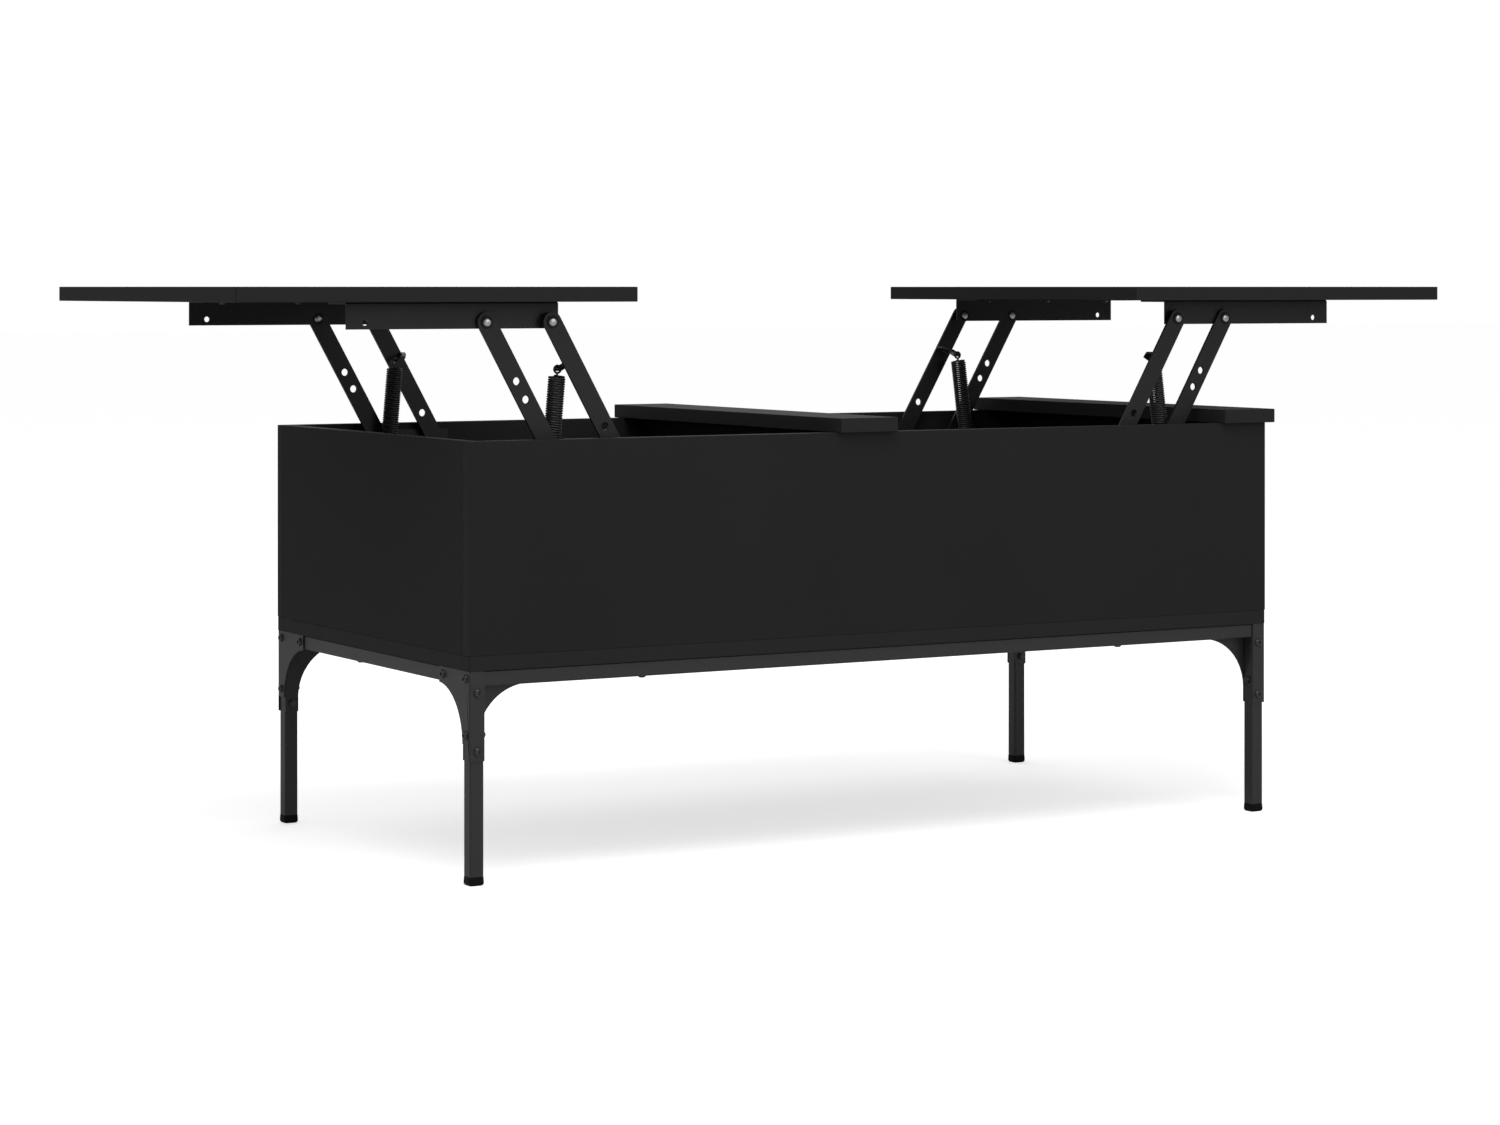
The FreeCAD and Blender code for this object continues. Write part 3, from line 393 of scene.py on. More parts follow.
def bake(piece):
    """Turn a piece's modifiers into plain mesh."""
    graph = bpy.context.evaluated_depsgraph_get()
    graph.update()
    mesh = bpy.data.meshes.new_from_object(piece.evaluated_get(graph), depsgraph=graph)
    piece.modifiers.clear()
    piece.data = mesh
    return piece


def settle(piece, nodes, body=None):
    """Let a piece ride on its body in place of its CAD nodes."""
    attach(piece, body or body_name(nodes[0]))
    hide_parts(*nodes)
    return piece


def sharp_edges(bm, angle=35.0):
    """Edges whose two faces turn by more than an angle in degrees."""
    limit = math.radians(angle)
    return [e for e in bm.edges if len(e.link_faces) == 2 and e.calc_face_angle(0.0) > limit]


def bevel(bm, edges, width, segments=2):
    """Round some edges."""
    bmesh.ops.bevel(bm, geom=edges, offset=width, offset_type="OFFSET", segments=segments,
                    profile=0.5, affect="EDGES", clamp_overlap=True, loop_slide=True)


def block(low, high):
    """A bmesh box between two corners."""
    bm = bmesh.new()
    bmesh.ops.create_cube(bm, size=1.0)
    for v in bm.verts:
        v.co = Vector([low[k] + (v.co[k] + 0.5) * (high[k] - low[k]) for k in range(3)])
    return bm


def add_ring(bm, points):
    """New points, in order."""
    return [bm.verts.new(p) for p in points]


def bridge(bm, first, second):
    """Quads between two closed rings of the same count."""
    count = len(first)
    for k in range(count):
        bm.faces.new((first[k], first[(k + 1) % count], second[(k + 1) % count], second[k]))


def rounded_square(centre, half, radius, z, steps=5):
    """A square outline with round corners, at one height."""
    points = []
    for quarter in range(4):
        turn = quarter * math.pi / 2
        corner = Vector((math.copysign(half - radius, math.cos(turn + math.pi / 4)),
                         math.copysign(half - radius, math.sin(turn + math.pi / 4)), 0))
        for k in range(steps + 1):
            angle = turn + k / steps * math.pi / 2
            points.append(Vector((centre[0], centre[1], z)) + corner
                          + radius * Vector((math.cos(angle), math.sin(angle), 0)))
    return points


# ---------------------------------------------------------------- geometry node trees
def attribute(t, name):
    """A vector that is stored on each point."""
    return t.add("GeometryNodeInputNamedAttribute", {"data_type": "FLOAT_VECTOR"}, Name=name).outputs[0]


def placed(t, given, result, shape, direction):
    """End a tree: copy a shape to every point, its Z along a direction, as real mesh with the finish."""
    turn = t.add("FunctionNodeAlignRotationToVector", {"axis": "Z"}, Vector=direction).outputs[0]
    copies = t.add("GeometryNodeInstanceOnPoints", Points=given.outputs["Geometry"], Instance=shape,
                   Rotation=turn).outputs[0]
    real = t.add("GeometryNodeRealizeInstances", Geometry=copies).outputs[0]
    done = t.add("GeometryNodeSetMaterial", Geometry=real, Material=given.outputs["Finish"]).outputs[0]
    t.feed(result.inputs[0], done)
    return t.tree


def heads_tree(drive):
    """Fastener heads on points: a flattened dome with a cross or hexagon drive, facing an attribute."""
    name = f"fastener_heads_{drive}"
    if name in bpy.data.node_groups:
        return bpy.data.node_groups[name]
    t, given, result = group_tree(name, "GeometryNodeTree", (
        ("Geometry", "NodeSocketGeometry", None), ("Head Radius", "NodeSocketFloat", 0.004),
        ("Head Height", "NodeSocketFloat", 0.002), ("Drive Size", "NodeSocketFloat", 0.0045),
        ("Drive Depth", "NodeSocketFloat", 0.0012), ("Finish", "NodeSocketMaterial", None)),
        (("Geometry", "NodeSocketGeometry"),))
    radius, height = given.outputs["Head Radius"], given.outputs["Head Height"]
    # a stretched ball, 1.3 times too tall, is pressed flat at the head's height
    ball = t.add("GeometryNodeMeshUVSphere", Segments=32, Rings=18, Radius=1.0).outputs[0]
    over = t.math("MULTIPLY", height, 1.3)
    scale = t.add("ShaderNodeCombineXYZ", _0=radius, _1=radius, _2=over).outputs[0]
    dome = t.add("GeometryNodeTransform", Geometry=ball, Scale=scale).outputs[0]
    spot = t.add("ShaderNodeSeparateXYZ", _0=t.add("GeometryNodeInputPosition").outputs[0])
    level = t.math("MINIMUM", spot.outputs[2], height)
    flat = t.add("ShaderNodeCombineXYZ", _0=spot.outputs[0], _1=spot.outputs[1], _2=level).outputs[0]
    crown = t.add("GeometryNodeSetPosition", Geometry=dome, Position=flat).outputs[0]
    size, depth = given.outputs["Drive Size"], given.outputs["Drive Depth"]
    tall = t.math("MULTIPLY", depth, 2.0)
    lift = t.add("ShaderNodeCombineXYZ", _2=height).outputs[0]
    if drive == "cross":
        thin = t.math("MULTIPLY", size, 0.26)
        tools = []
        for pair in ((size, thin), (thin, size)):
            box_size = t.add("ShaderNodeCombineXYZ", _0=pair[0], _1=pair[1], _2=tall).outputs[0]
            cube = t.add("GeometryNodeMeshCube", Size=box_size).outputs[0]
            tools.append(t.add("GeometryNodeTransform", Geometry=cube, Translation=lift).outputs[0])
    else:
        prism = t.add("GeometryNodeMeshCylinder", Vertices=6, Radius=t.math("MULTIPLY", size, 0.5),
                      Depth=tall).outputs[0]
        tools = [t.add("GeometryNodeTransform", Geometry=prism, Translation=lift).outputs[0]]
    for tool in tools:
        cutter = t.add("GeometryNodeMeshBoolean", {"operation": "DIFFERENCE", "solver": "EXACT"})
        t.feed(cutter.inputs["Mesh 1"], crown)
        t.feed(cutter.inputs["Mesh 2"], tool)
        crown = cutter.outputs[0]
    return placed(t, given, result, crown, attribute(t, "facing"))


def nuts_tree():
    """Hexagon nuts on points, each with the bolt's end standing out of it, facing an attribute."""
    name = "hexagon_nuts"
    if name in bpy.data.node_groups:
        return bpy.data.node_groups[name]
    t, given, result = group_tree(name, "GeometryNodeTree", (
        ("Geometry", "NodeSocketGeometry", None), ("Nut Radius", "NodeSocketFloat", 0.004),
        ("Nut Height", "NodeSocketFloat", 0.0032), ("Bolt Radius", "NodeSocketFloat", 0.0025),
        ("Bolt End", "NodeSocketFloat", 0.001), ("Finish", "NodeSocketMaterial", None)),
        (("Geometry", "NodeSocketGeometry"),))
    radius, height = given.outputs["Nut Radius"], given.outputs["Nut Height"]
    half = t.math("MULTIPLY", height, 0.5)
    prism = t.add("GeometryNodeMeshCylinder", Vertices=6, Radius=radius, Depth=height).outputs[0]
    lift = t.add("ShaderNodeCombineXYZ", _2=half).outputs[0]
    prism = t.add("GeometryNodeTransform", Geometry=prism, Translation=lift).outputs[0]
    # a ball a little wider than the nut takes off its sharp corners
    ball = t.add("GeometryNodeMeshUVSphere", Segments=48, Rings=32, Radius=1.0).outputs[0]
    wide, tall = t.math("MULTIPLY", radius, 1.03), t.math("MULTIPLY", height, 1.9)
    scale = t.add("ShaderNodeCombineXYZ", _0=wide, _1=wide, _2=tall).outputs[0]
    ball = t.add("GeometryNodeTransform", Geometry=ball, Scale=scale).outputs[0]
    eased = t.add("GeometryNodeMeshBoolean", {"operation": "INTERSECT", "solver": "EXACT"})
    for shape in (prism, ball):
        t.feed(eased.inputs["Mesh 2"], shape)
    reach = t.math("ADD", height, given.outputs["Bolt End"])
    thread = t.add("GeometryNodeMeshCylinder", Vertices=28, Radius=given.outputs["Bolt Radius"],
                   Depth=reach).outputs[0]
    middle = t.add("ShaderNodeCombineXYZ", _2=t.math("MULTIPLY", reach, 0.5)).outputs[0]
    thread = t.add("GeometryNodeTransform", Geometry=thread, Translation=middle).outputs[0]
    both = t.add("GeometryNodeJoinGeometry")
    for shape in (eased.outputs[0], thread):
        t.feed(both.inputs[0], shape)
    return placed(t, given, result, both.outputs[0], attribute(t, "facing"))


def spring_tree():
    """A tension spring on each point: wound wire with a ring at both ends, along one direction."""
    name = "tension_spring"
    if name in bpy.data.node_groups:
        return bpy.data.node_groups[name]
    t, given, result = group_tree(name, "GeometryNodeTree", (
        ("Geometry", "NodeSocketGeometry", None), ("Direction", "NodeSocketVector", (0, 0, 1)),
        ("Ring To Ring", "NodeSocketFloat", 0.12), ("Coil Radius", "NodeSocketFloat", 0.008),
        ("Wire Radius", "NodeSocketFloat", 0.0011), ("Pitch", "NodeSocketFloat", 0.0027),
        ("Ring Radius", "NodeSocketFloat", 0.0037), ("Hook", "NodeSocketFloat", 0.0075),
        ("Finish", "NodeSocketMaterial", None)), (("Geometry", "NodeSocketGeometry"),))
    total, hook, pitch = given.outputs["Ring To Ring"], given.outputs["Hook"], given.outputs["Pitch"]
    wire, ring = given.outputs["Wire Radius"], given.outputs["Ring Radius"]
    # the wire's middle runs inside the coil's outer radius
    middle = t.math("SUBTRACT", given.outputs["Coil Radius"], wire)
    wound = t.math("SUBTRACT", total, t.math("MULTIPLY", hook, 2.0))
    turns = t.math("ROUND", t.math("DIVIDE", wound, pitch))

    def line(start, end):
        a = t.add("ShaderNodeCombineXYZ", _2=start).outputs[0]
        b = t.add("ShaderNodeCombineXYZ", _2=end).outputs[0]
        return t.add("GeometryNodeCurvePrimitiveLine", Start=a, End=b).outputs[0]

    def shifted(shape, height, turn=(0, 0, 0)):
        offset = t.add("ShaderNodeCombineXYZ", _2=height).outputs[0]
        return t.add("GeometryNodeTransform", Geometry=shape, Translation=offset, Rotation=turn).outputs[0]

    def spiral(rotations, inner, rise, reverse):
        return t.add("GeometryNodeCurveSpiral", Resolution=22, Rotations=rotations, Start_Radius=middle,
                     End_Radius=inner, Height=rise, Reverse=reverse).outputs[0]

    coil = shifted(spiral(turns, middle, wound, False), hook)
    low_turn = shifted(spiral(0.75, 0.0, t.math("MULTIPLY", wire, -1.0), True), hook)
    top = t.math("SUBTRACT", total, hook)
    high_turn = shifted(spiral(0.75, 0.0, wire, False), top)
    low_leg = line(t.math("SUBTRACT", hook, wire), ring)
    high_leg = line(t.math("ADD", top, wire), t.math("SUBTRACT", total, ring))
    eye = t.add("GeometryNodeCurvePrimitiveCircle", Resolution=36, Radius=ring).outputs[0]
    standing = (math.pi / 2, 0, 0)
    low_eye = shifted(eye, 0.0, standing)
    high_eye = shifted(eye, total, standing)
    paths = t.add("GeometryNodeJoinGeometry")
    for path in (coil, low_turn, high_turn, low_leg, high_leg, low_eye, high_eye):
        t.feed(paths.inputs[0], path)
    section = t.add("GeometryNodeCurvePrimitiveCircle", Resolution=10, Radius=wire).outputs[0]
    swept = t.add("GeometryNodeCurveToMesh", Curve=paths.outputs[0], Profile_Curve=section, Fill_Caps=True)
    smooth = t.add("GeometryNodeSetShadeSmooth", Geometry=swept.outputs[0]).outputs[0]
    return placed(t, given, result, smooth, given.outputs["Direction"])


def grown(name, points, tree, values, facings=None):
    """A plain mesh grown by a geometry node tree from points."""
    mesh = bpy.data.meshes.new(name)
    mesh.from_pydata([tuple(p) for p in points], [], [])
    if facings:
        stored = mesh.attributes.new("facing", "FLOAT_VECTOR", "POINT")
        stored.data.foreach_set("vector", [part for facing in facings for part in facing])
    piece = bpy.data.objects.new(name, mesh)
    bpy.context.scene.collection.objects.link(piece)
    modifier = piece.modifiers.new("growth", "NODES")
    modifier.node_group = tree
    keys = {item.name: item.identifier for item in tree.interface.items_tree
            if item.item_type == "SOCKET" and item.in_out == "INPUT"}
    for label, value in values.items():
        modifier[keys[label]] = value
    bake(piece)
    bm = bmesh.new()
    bm.from_mesh(piece.data)
    clean(bm)
    bm.to_mesh(piece.data)
    bm.free()
    piece.data.set_sharp_from_angle(angle=SMOOTH_ANGLE)
    return piece


# ---------------------------------------------------------------- operators
class Piece(bpy.types.Operator):
    """Shared behaviour of the operators that make pieces."""
    bl_options = {"REGISTER", "UNDO"}

    def execute(self, context):
        self.make()
        return {"FINISHED"}


BOARDS = ("base_board", "front_panel", "back_panel", "left_panel", "right_panel", "centre_divider",
          "centre_strip", "right_strip", "left_lid", "right_lid")


class LIFTTABLE_OT_boards(Piece):
    """Laminated boards with rounded edge bands"""
    bl_idname = "lift_table.boards"
    bl_label = "Boards and lids"

    def make(self):
        for node in BOARDS:
            low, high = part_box(node)
            extents = [high[k] - low[k] for k in range(3)]
            thin = extents.index(min(extents))
            bm = block(low, high)
            if node.endswith(("lid", "base_board", "right_strip")):
                upright = [e for e in bm.edges
                           if abs((e.verts[0].co - e.verts[1].co).z) > 0.5 * extents[2]]
                bevel(bm, upright, sizes().board_corner, 4)
            bevel(bm, sharp_edges(bm), sizes().board_round, 3)
            bm.normal_update()
            for face in bm.faces:
                face.material_index = 0 if abs(face.normal[thin]) > 0.99 else 1
            settle(new_object(f"{node}_finished", bm, (laminate(), edge_band())), (node,))


TUBES = [f"{end}_{side}_leg" for end in ENDS for side in SIDES] + [
    f"{edge}_apron_rail" for edge in ENDS + SIDES]


class LIFTTABLE_OT_tubes(Piece):
    """Square tube legs and apron rails with round corners"""
    bl_idname = "lift_table.tubes"
    bl_label = "Legs and apron rails"

    def make(self):
        for node in TUBES:
            low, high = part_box(node)
            extents = [high[k] - low[k] for k in range(3)]
            along = extents.index(max(extents))
            bm = block(low, high)
            runs = [e for e in bm.edges
                    if abs((e.verts[0].co - e.verts[1].co)[along]) > 0.9 * extents[along]]
            bevel(bm, runs, sizes().tube_round, 5)
            settle(new_object(f"{node}_tube", bm, (powder_coat(),)), (node,))


class LIFTTABLE_OT_brackets(Piece):
    """Bent corner brackets and flat gussets with round throats"""
    bl_idname = "lift_table.brackets"
    bl_label = "Corner brackets and gussets"

    def make(self):
        for end in ENDS:
            for side in SIDES:
                node = f"{end}_{side}_bracket"
                low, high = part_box(node)
                bm = cad_mesh(node)
                x = low.x if side == "left" else high.x
                y = low.y if end == "front" else high.y
                corner = [e for e in sharp_edges(bm)
                          if all(abs(v.co.x - x) < SAME_PLACE and abs(v.co.y - y) < SAME_PLACE
                                 for v in e.verts)]
                bevel(bm, corner, sizes().bend_round, 5)
                bevel(bm, sharp_edges(bm), sizes().sheet_round, 2)
                settle(new_object(f"{node}_bent", bm, (powder_coat(),)), (node,))
                node = f"{end}_{side}_gusset"
                bm = cad_mesh(node)
                bevel(bm, sharp_edges(bm), sizes().sheet_round, 2)
                settle(new_object(f"{node}_eased", bm, (powder_coat(),)), (node,))


class LIFTTABLE_OT_feet(Piece):
    """Moulded caps under the legs"""
    bl_idname = "lift_table.feet"
    bl_label = "Foot caps"

    def make(self):
        bm = bmesh.new()
        for solid in islands("foot_caps"):
            low, high = span([p for face in solid for p in face])
            centre = (low + high) / 2
            half, top = (high.x - low.x) / 2, high.z
            # height share and how far in from the widest part, in millimetres
            outline = ((0.0, 1.9), (0.05, 1.0), (0.14, 0.4), (0.26, 0.1), (0.40, 0.0), (0.62, 0.12),
                       (0.88, 0.25), (0.96, 0.35), (1.0, 0.65))
            rings = [add_ring(bm, rounded_square(centre, half - inset * MM, sizes().foot_corner, share * top))
                     for share, inset in outline]
            bm.faces.new(rings[0][::-1])
            for first, second in zip(rings, rings[1:]):
                bridge(bm, first, second)
            bm.faces.new(rings[-1])
        settle(new_object("foot_caps_moulded", bm, (foot_plastic(),)), ("foot_caps",))


class LIFTTABLE_OT_sheet_parts(Piece):
    """Lid rails, arms and base plates with eased edges and round bends"""
    bl_idname = "lift_table.sheet_parts"
    bl_label = "Rails, arms and plates"

    def make(self):
        for side in SIDES:
            for end in ENDS:
                for part in ("lid_rail", "base_plate", "inner_arm", "outer_arm"):
                    node = f"{side}_{end}_{part}"
                    bm = cad_mesh(node)
                    if part in ("lid_rail", "base_plate"):
                        self.round_bend(bm, node, end, part)
                    bevel(bm, sharp_edges(bm), sizes().sheet_round, 2)
                    settle(new_object(f"{node}_eased", bm, (arm_coat(),)), (node,))

    def round_bend(self, bm, node, end, part):
        """Round the long outer edge where web and flange meet."""
        low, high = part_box(node)
        y = low.y if end == "front" else high.y
        z = high.z if part == "lid_rail" else low.z
        fold = [e for e in sharp_edges(bm)
                if all(abs(v.co.y - y) < SAME_PLACE and abs(v.co.z - z) < SAME_PLACE for v in e.verts)]
        bevel(bm, fold, sizes().bend_round, 4)


def pin_steps(solid):
    """The runs of a stepped pin along Y: its middle, and (start, end, radius) of each run."""
    points = [p for face in solid for p in face]
    low, high = span(points)
    centre = (low + high) / 2
    runs = {}
    for face in solid:
        start, end = min(p.y for p in face), max(p.y for p in face)
        if end - start > SAME_PLACE:
            reach = max(math.hypot(p.x - centre.x, p.z - centre.z) for p in face)
            key = (round(start, 6), round(end, 6))
            runs[key] = max(runs.get(key, 0.0), reach)
    return centre, [(start, end, reach) for (start, end), reach in sorted(runs.items())]


def pin_profile(steps):
    """Outline of a turned pin as (y, radius, slot): heads are a black washer under a bright dome."""
    shaft = min(reach for _, _, reach in steps)
    ease = RIVET_EASE
    outline = []
    for number, (start, end, reach) in enumerate(steps):
        first, last = number == 0, number == len(steps) - 1
        headed = reach > shaft * 1.2
        if headed and (first or last):
            tip, root = (start, end) if first else (end, start)
            top = tip + DOME_HEIGHT * (root - tip)
            inward = ease if root > tip else -ease
            head = [(tip + (top - tip) * (1 - math.cos(a)), DOME_RADIUS * reach * math.sin(a), 1)
                    for a in quarter()]
            head += [(top, reach - ease, 0), (top + inward, reach, 0), (root, reach, 0)]
            outline += head if first else head[::-1]
        elif headed:
            outline += [(start, reach - ease, 0), (start + ease, reach, 0), (end - ease, reach, 0),
                        (end, reach - ease, 0)]
        else:
            outline += [(start, reach, 0), (end, reach, 0)]
    if outline[0][1] > MERGE_DISTANCE:
        outline.insert(0, (outline[0][0], 0.0, 0))
    if outline[-1][1] > MERGE_DISTANCE:
        outline.append((outline[-1][0], 0.0, 0))
    return outline


def quarter(steps=8):
    """Angles from nothing to a right angle."""
    return [k / steps * math.pi / 2 for k in range(steps + 1)]


def turned(bm, centre, outline, count):
    """Spin an outline of (y, radius, slot) about an axis along Y."""
    turns = [k / count * 2 * math.pi for k in range(count)]
    previous, before = None, 0
    for y, reach, slot in outline:
        if reach < MERGE_DISTANCE:
            ring = [bm.verts.new((centre.x, y, centre.z))]
        else:
            ring = add_ring(bm, [(centre.x + reach * math.cos(turn), y, centre.z + reach * math.sin(turn))
                                 for turn in turns])
        if previous is not None:
            made = len(bm.faces)
            if len(previous) == 1:
                for k in range(count):
                    bm.faces.new((previous[0], ring[k], ring[(k + 1) % count]))
            elif len(ring) == 1:
                for k in range(count):
                    bm.faces.new((previous[k], ring[0], previous[(k + 1) % count]))
            else:
                bridge(bm, previous, ring)
            bm.faces.ensure_lookup_table()
            for face in bm.faces[made:]:
                face.material_index = min(slot, before)
        previous, before = ring, slot


class LIFTTABLE_OT_pins(Piece):
    """Turned pivots with washers, domed rivet heads and spacers"""
    bl_idname = "lift_table.pins"
    bl_label = "Pivots"

    def make(self):
        for side in SIDES:
            for where in ("base_pins", "lid_pins"):
                node = f"{side}_{where}"
                bm = bmesh.new()
                for solid in islands(node):
                    centre, steps = pin_steps(solid)
                    turned(bm, centre, pin_profile(steps), sizes().ring_sides)
                settle(new_object(f"{node}_turned", bm, (washer_black(), rivet_steel())), (node,))


def fixings(node):
    """Where each fixing's head sits on its part: foot of head, outward direction, radius and height."""
    found = []
    for solid in islands(node):
        points = [p for face in solid for p in face]
        low, high = span(points)
        extents = [high[k] - low[k] for k in range(3)]
        along = max(range(3), key=lambda k: extents[k])
        centre = (low + high) / 2
        reach = max(extents[k] for k in range(3) if k != along) / 2
        wide = [p[along] for p in points
                if math.dist([p[k] for k in range(3) if k != along],
                             [centre[k] for k in range(3) if k != along]) > 0.95 * reach]
        outward = 1.0 if abs(max(wide) - high[along]) < SAME_PLACE else -1.0
        facing = Vector([outward if k == along else 0.0 for k in range(3)])
        foot = centre.copy()
        foot[along] = min(wide) if outward > 0 else max(wide)
        found.append((foot, facing, reach, max(wide) - min(wide)))
    return found


class LIFTTABLE_OT_fixings(Piece):
    """Screws with cross drives and button bolts with hexagon sockets"""
    bl_idname = "lift_table.fixings"
    bl_label = "Screws and bolts"

    def make(self):
        for node, drive, share in (("base_plate_screws", "cross", 0.62), ("board_screws", "cross", 0.62),
                                   ("left_lid_screws", "cross", 0.62), ("right_lid_screws", "cross", 0.62),
                                   ("frame_bolts", "hexagon", 0.48)):
            found = fixings(node)
            _, _, reach, height = found[0]
            values = {"Head Radius": reach, "Head Height": height, "Drive Size": 2 * reach * share,
                      "Drive Depth": min(sizes().drive_depth, 0.7 * height), "Finish": screw_black()}
            piece = grown(f"{node}_heads", [foot for foot, _, _, _ in found], heads_tree(drive), values,
                          [facing for _, facing, _, _ in found])
            settle(piece, (node,))
        self.make_nuts()

    def make_nuts(self):
        """Nuts on the inner side of the legs and gussets."""
        feet, facings = [], []
        for solid in islands("frame_nuts"):
            low, high = span([p for face in solid for p in face])
            extents = [high[k] - low[k] for k in range(3)]
            along = extents.index(min(extents))
            foot = (low + high) / 2
            inward = -1.0 if foot[along] > 0 else 1.0
            foot[along] = high[along] if inward < 0 else low[along]
            feet.append(foot)
            facings.append(Vector([inward if k == along else 0.0 for k in range(3)]))
        values = {"Nut Radius": max(extents) / 2, "Nut Height": min(extents), "Bolt Radius": BOLT_RADIUS,
                  "Bolt End": BOLT_END, "Finish": screw_black()}
        settle(grown("frame_nuts_hexagon", feet, nuts_tree(), values, facings), ("frame_nuts",))


class LIFTTABLE_OT_springs(Piece):
    """Wound tension springs in place of the CAD coils and hooks"""
    bl_idname = "lift_table.springs"
    bl_label = "Springs"

    def make(self):
        for side in SIDES:
            base = Vector(JOINTS[f"{side}_spring_swing"]["pos_m"])
            line = Vector(JOINTS[f"{side}_spring_stretch"]["axis"]).normalized()
            hooks = islands(f"{side}_spring_hooks")
            reach = [max((p - base).dot(line) for face in solid for p in face) for solid in hooks]
            across = [span([p for face in solid for p in face]) for solid in hooks]
            middles = sorted((low.y + high.y) / 2 for low, high in across)
            outside = max((high.y - low.y) / 2 for low, high in across)
            wire, hook = sizes().wire / 2, SPRING_HOOK
            total = max(reach) - SPRING_EYE - wire
            starts = [Vector((base.x, y, base.z)) for y in middles]
            piece = grown(f"{side}_springs_wound", starts, spring_tree(), {
                "Direction": tuple(line), "Ring To Ring": total, "Coil Radius": outside,
                "Wire Radius": wire, "Pitch": sizes().wire_pitch, "Ring Radius": SPRING_EYE,
                "Hook": hook, "Finish": spring_coat()})
            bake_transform(piece)
            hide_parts(f"{side}_spring_coils", f"{side}_spring_hooks")


class LIFTTABLE_OT_dowels(Piece):
    """Beech finish on the dowels inside the joints"""
    bl_idname = "lift_table.dowels"
    bl_label = "Dowels"

    def make(self):
        mesh = NODES["panel_dowels"].data
        mesh.materials.clear()
        mesh.materials.append(dowel_wood())


# ---------------------------------------------------------------- stage
CAMERA_PLACE = (-1.9689, -3.3197, 0.5859)
CAMERA_TURN = (90.0, 0.0, -30.24)
CAMERA_LENS = 83.68
CAMERA_SHIFT = -0.1836
LIGHTS = (  # name, place, width and power in watts
    ("key", (-0.9, -1.4, 2.9), 1.8, 52.0),
    ("front", (1.2, -3.6, 1.7), 2.4, 42.0),
    ("back", (0.8, 2.6, 2.6), 2.4, 14.0),
)
LIGHT_AIM = (0, 0, 0.3)
WHITE = (1, 1, 1, 1)
FLOOR_GREY = (0.80, 0.80, 0.80, 1)
FLOOR_GLOW = 0.55  # added where the camera sees the floor
SKY_GLOW = 0.55  # what lights the table; the camera sees plain white


def seen_directly(t):
    """1 for rays from the camera or through glass."""
    path = t.add("ShaderNodeLightPath").outputs
    return t.math("MAXIMUM", path["Is Camera Ray"], path["Is Transmission Ray"])


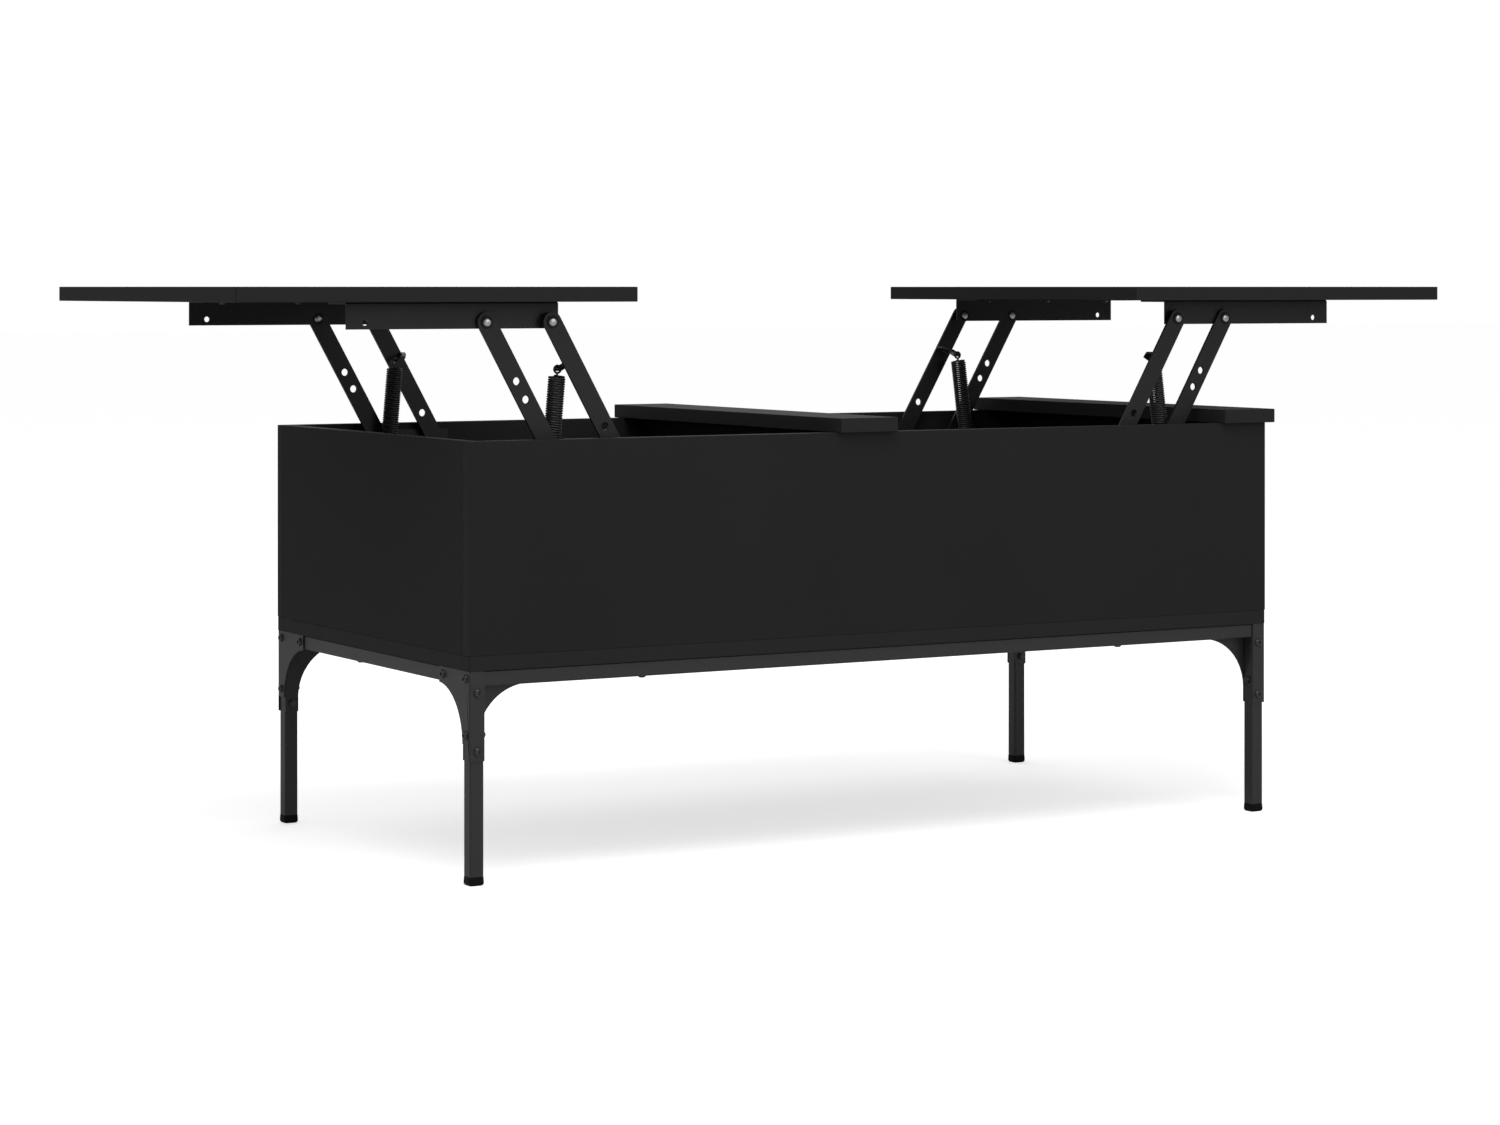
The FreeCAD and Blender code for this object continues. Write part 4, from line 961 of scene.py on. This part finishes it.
class LIFTTABLE_OT_stage(bpy.types.Operator):
    """White floor, soft lights and camera"""
    bl_idname = "lift_table.stage"
    bl_label = "Stage"

    def execute(self, context):
        self.make_floor()
        self.make_world(context.scene)
        self.make_lights()
        self.make_camera(context.scene)
        context.scene.view_settings.view_transform = "Standard"
        return {"FINISHED"}

    def make_floor(self):
        bm = bmesh.new()
        bmesh.ops.create_grid(bm, x_segments=1, y_segments=1, size=40.0)
        mesh = bpy.data.meshes.new("floor")
        bm.to_mesh(mesh)
        bm.free()
        floor = bpy.data.objects.new("floor", mesh)
        bpy.context.scene.collection.objects.link(floor)
        material = bpy.data.materials.new("floor_white")
        material.use_nodes = True
        material.node_tree.nodes.clear()
        t = Tree(material.node_tree)
        matt = t.add("ShaderNodeBsdfDiffuse", Color=FLOOR_GREY).outputs[0]
        glow = t.add("ShaderNodeEmission", Color=WHITE, Strength=FLOOR_GLOW).outputs[0]
        both = t.add("ShaderNodeAddShader", _0=matt, _1=glow).outputs[0]
        mixed = t.add("ShaderNodeMixShader", _0=seen_directly(t), _1=matt, _2=both).outputs[0]
        t.add("ShaderNodeOutputMaterial", Surface=mixed)
        mesh.materials.append(material)

    def make_world(self, scene):
        world = bpy.data.worlds.new("studio")
        world.use_nodes = True
        world.node_tree.nodes.clear()
        t = Tree(world.node_tree)
        plain = t.add("ShaderNodeBackground", Color=WHITE, Strength=SKY_GLOW).outputs[0]
        white = t.add("ShaderNodeBackground", Color=WHITE, Strength=1.0).outputs[0]
        mixed = t.add("ShaderNodeMixShader", _0=seen_directly(t), _1=plain, _2=white).outputs[0]
        t.add("ShaderNodeOutputWorld", Surface=mixed)
        scene.world = world

    def make_lights(self):
        for name, place, size, power in LIGHTS:
            light = bpy.data.lights.new(name, "AREA")
            light.energy = power
            light.size = size
            lamp = bpy.data.objects.new(name, light)
            aim = Vector(LIGHT_AIM) - Vector(place)
            lamp.rotation_euler = aim.to_track_quat("-Z", "Y").to_euler()
            lamp.location = place
            bpy.context.scene.collection.objects.link(lamp)

    def make_camera(self, scene):
        data = bpy.data.cameras.new("camera")
        data.sensor_width = 36.0
        data.lens = CAMERA_LENS
        data.shift_y = CAMERA_SHIFT
        data.clip_end = 100.0
        camera = bpy.data.objects.new("camera", data)
        camera.location = CAMERA_PLACE
        camera.rotation_euler = [math.radians(part) for part in CAMERA_TURN]
        scene.collection.objects.link(camera)
        scene.camera = camera


# ---------------------------------------------------------------- add-on
OPERATORS = (LIFTTABLE_OT_boards, LIFTTABLE_OT_tubes, LIFTTABLE_OT_brackets, LIFTTABLE_OT_feet,
             LIFTTABLE_OT_sheet_parts, LIFTTABLE_OT_pins, LIFTTABLE_OT_fixings, LIFTTABLE_OT_springs,
             LIFTTABLE_OT_dowels, LIFTTABLE_OT_stage)


class LIFTTABLE_PT_panel(bpy.types.Panel):
    """Sidebar list of the table's pieces, sizes and colours"""
    bl_label = "Lift top table"
    bl_idname = "LIFTTABLE_PT_panel"
    bl_space_type = "VIEW_3D"
    bl_region_type = "UI"
    bl_category = "Table"

    def draw(self, context):
        for settings in (context.scene.lift_table_sizes, context.scene.lift_table_colours):
            box = self.layout.box()
            for name in settings.bl_rna.properties.keys():
                if name not in ("rna_type", "name"):
                    box.prop(settings, name)
        for operator in OPERATORS:
            self.layout.operator(operator.bl_idname)


CLASSES = (TableSizes, TableColours, *OPERATORS, LIFTTABLE_PT_panel)


def register():
    for cls in CLASSES:
        bpy.utils.register_class(cls)
    bpy.types.Scene.lift_table_sizes = PointerProperty(type=TableSizes)
    bpy.types.Scene.lift_table_colours = PointerProperty(type=TableColours)


def unregister():
    del bpy.types.Scene.lift_table_colours
    del bpy.types.Scene.lift_table_sizes
    for cls in reversed(CLASSES):
        bpy.utils.unregister_class(cls)


def main():
    """Make every piece and the stage."""
    register()
    for operator in OPERATORS:
        group, name = operator.bl_idname.split(".")
        getattr(getattr(bpy.ops, group), name)()


if __name__ == "__main__":
    main()
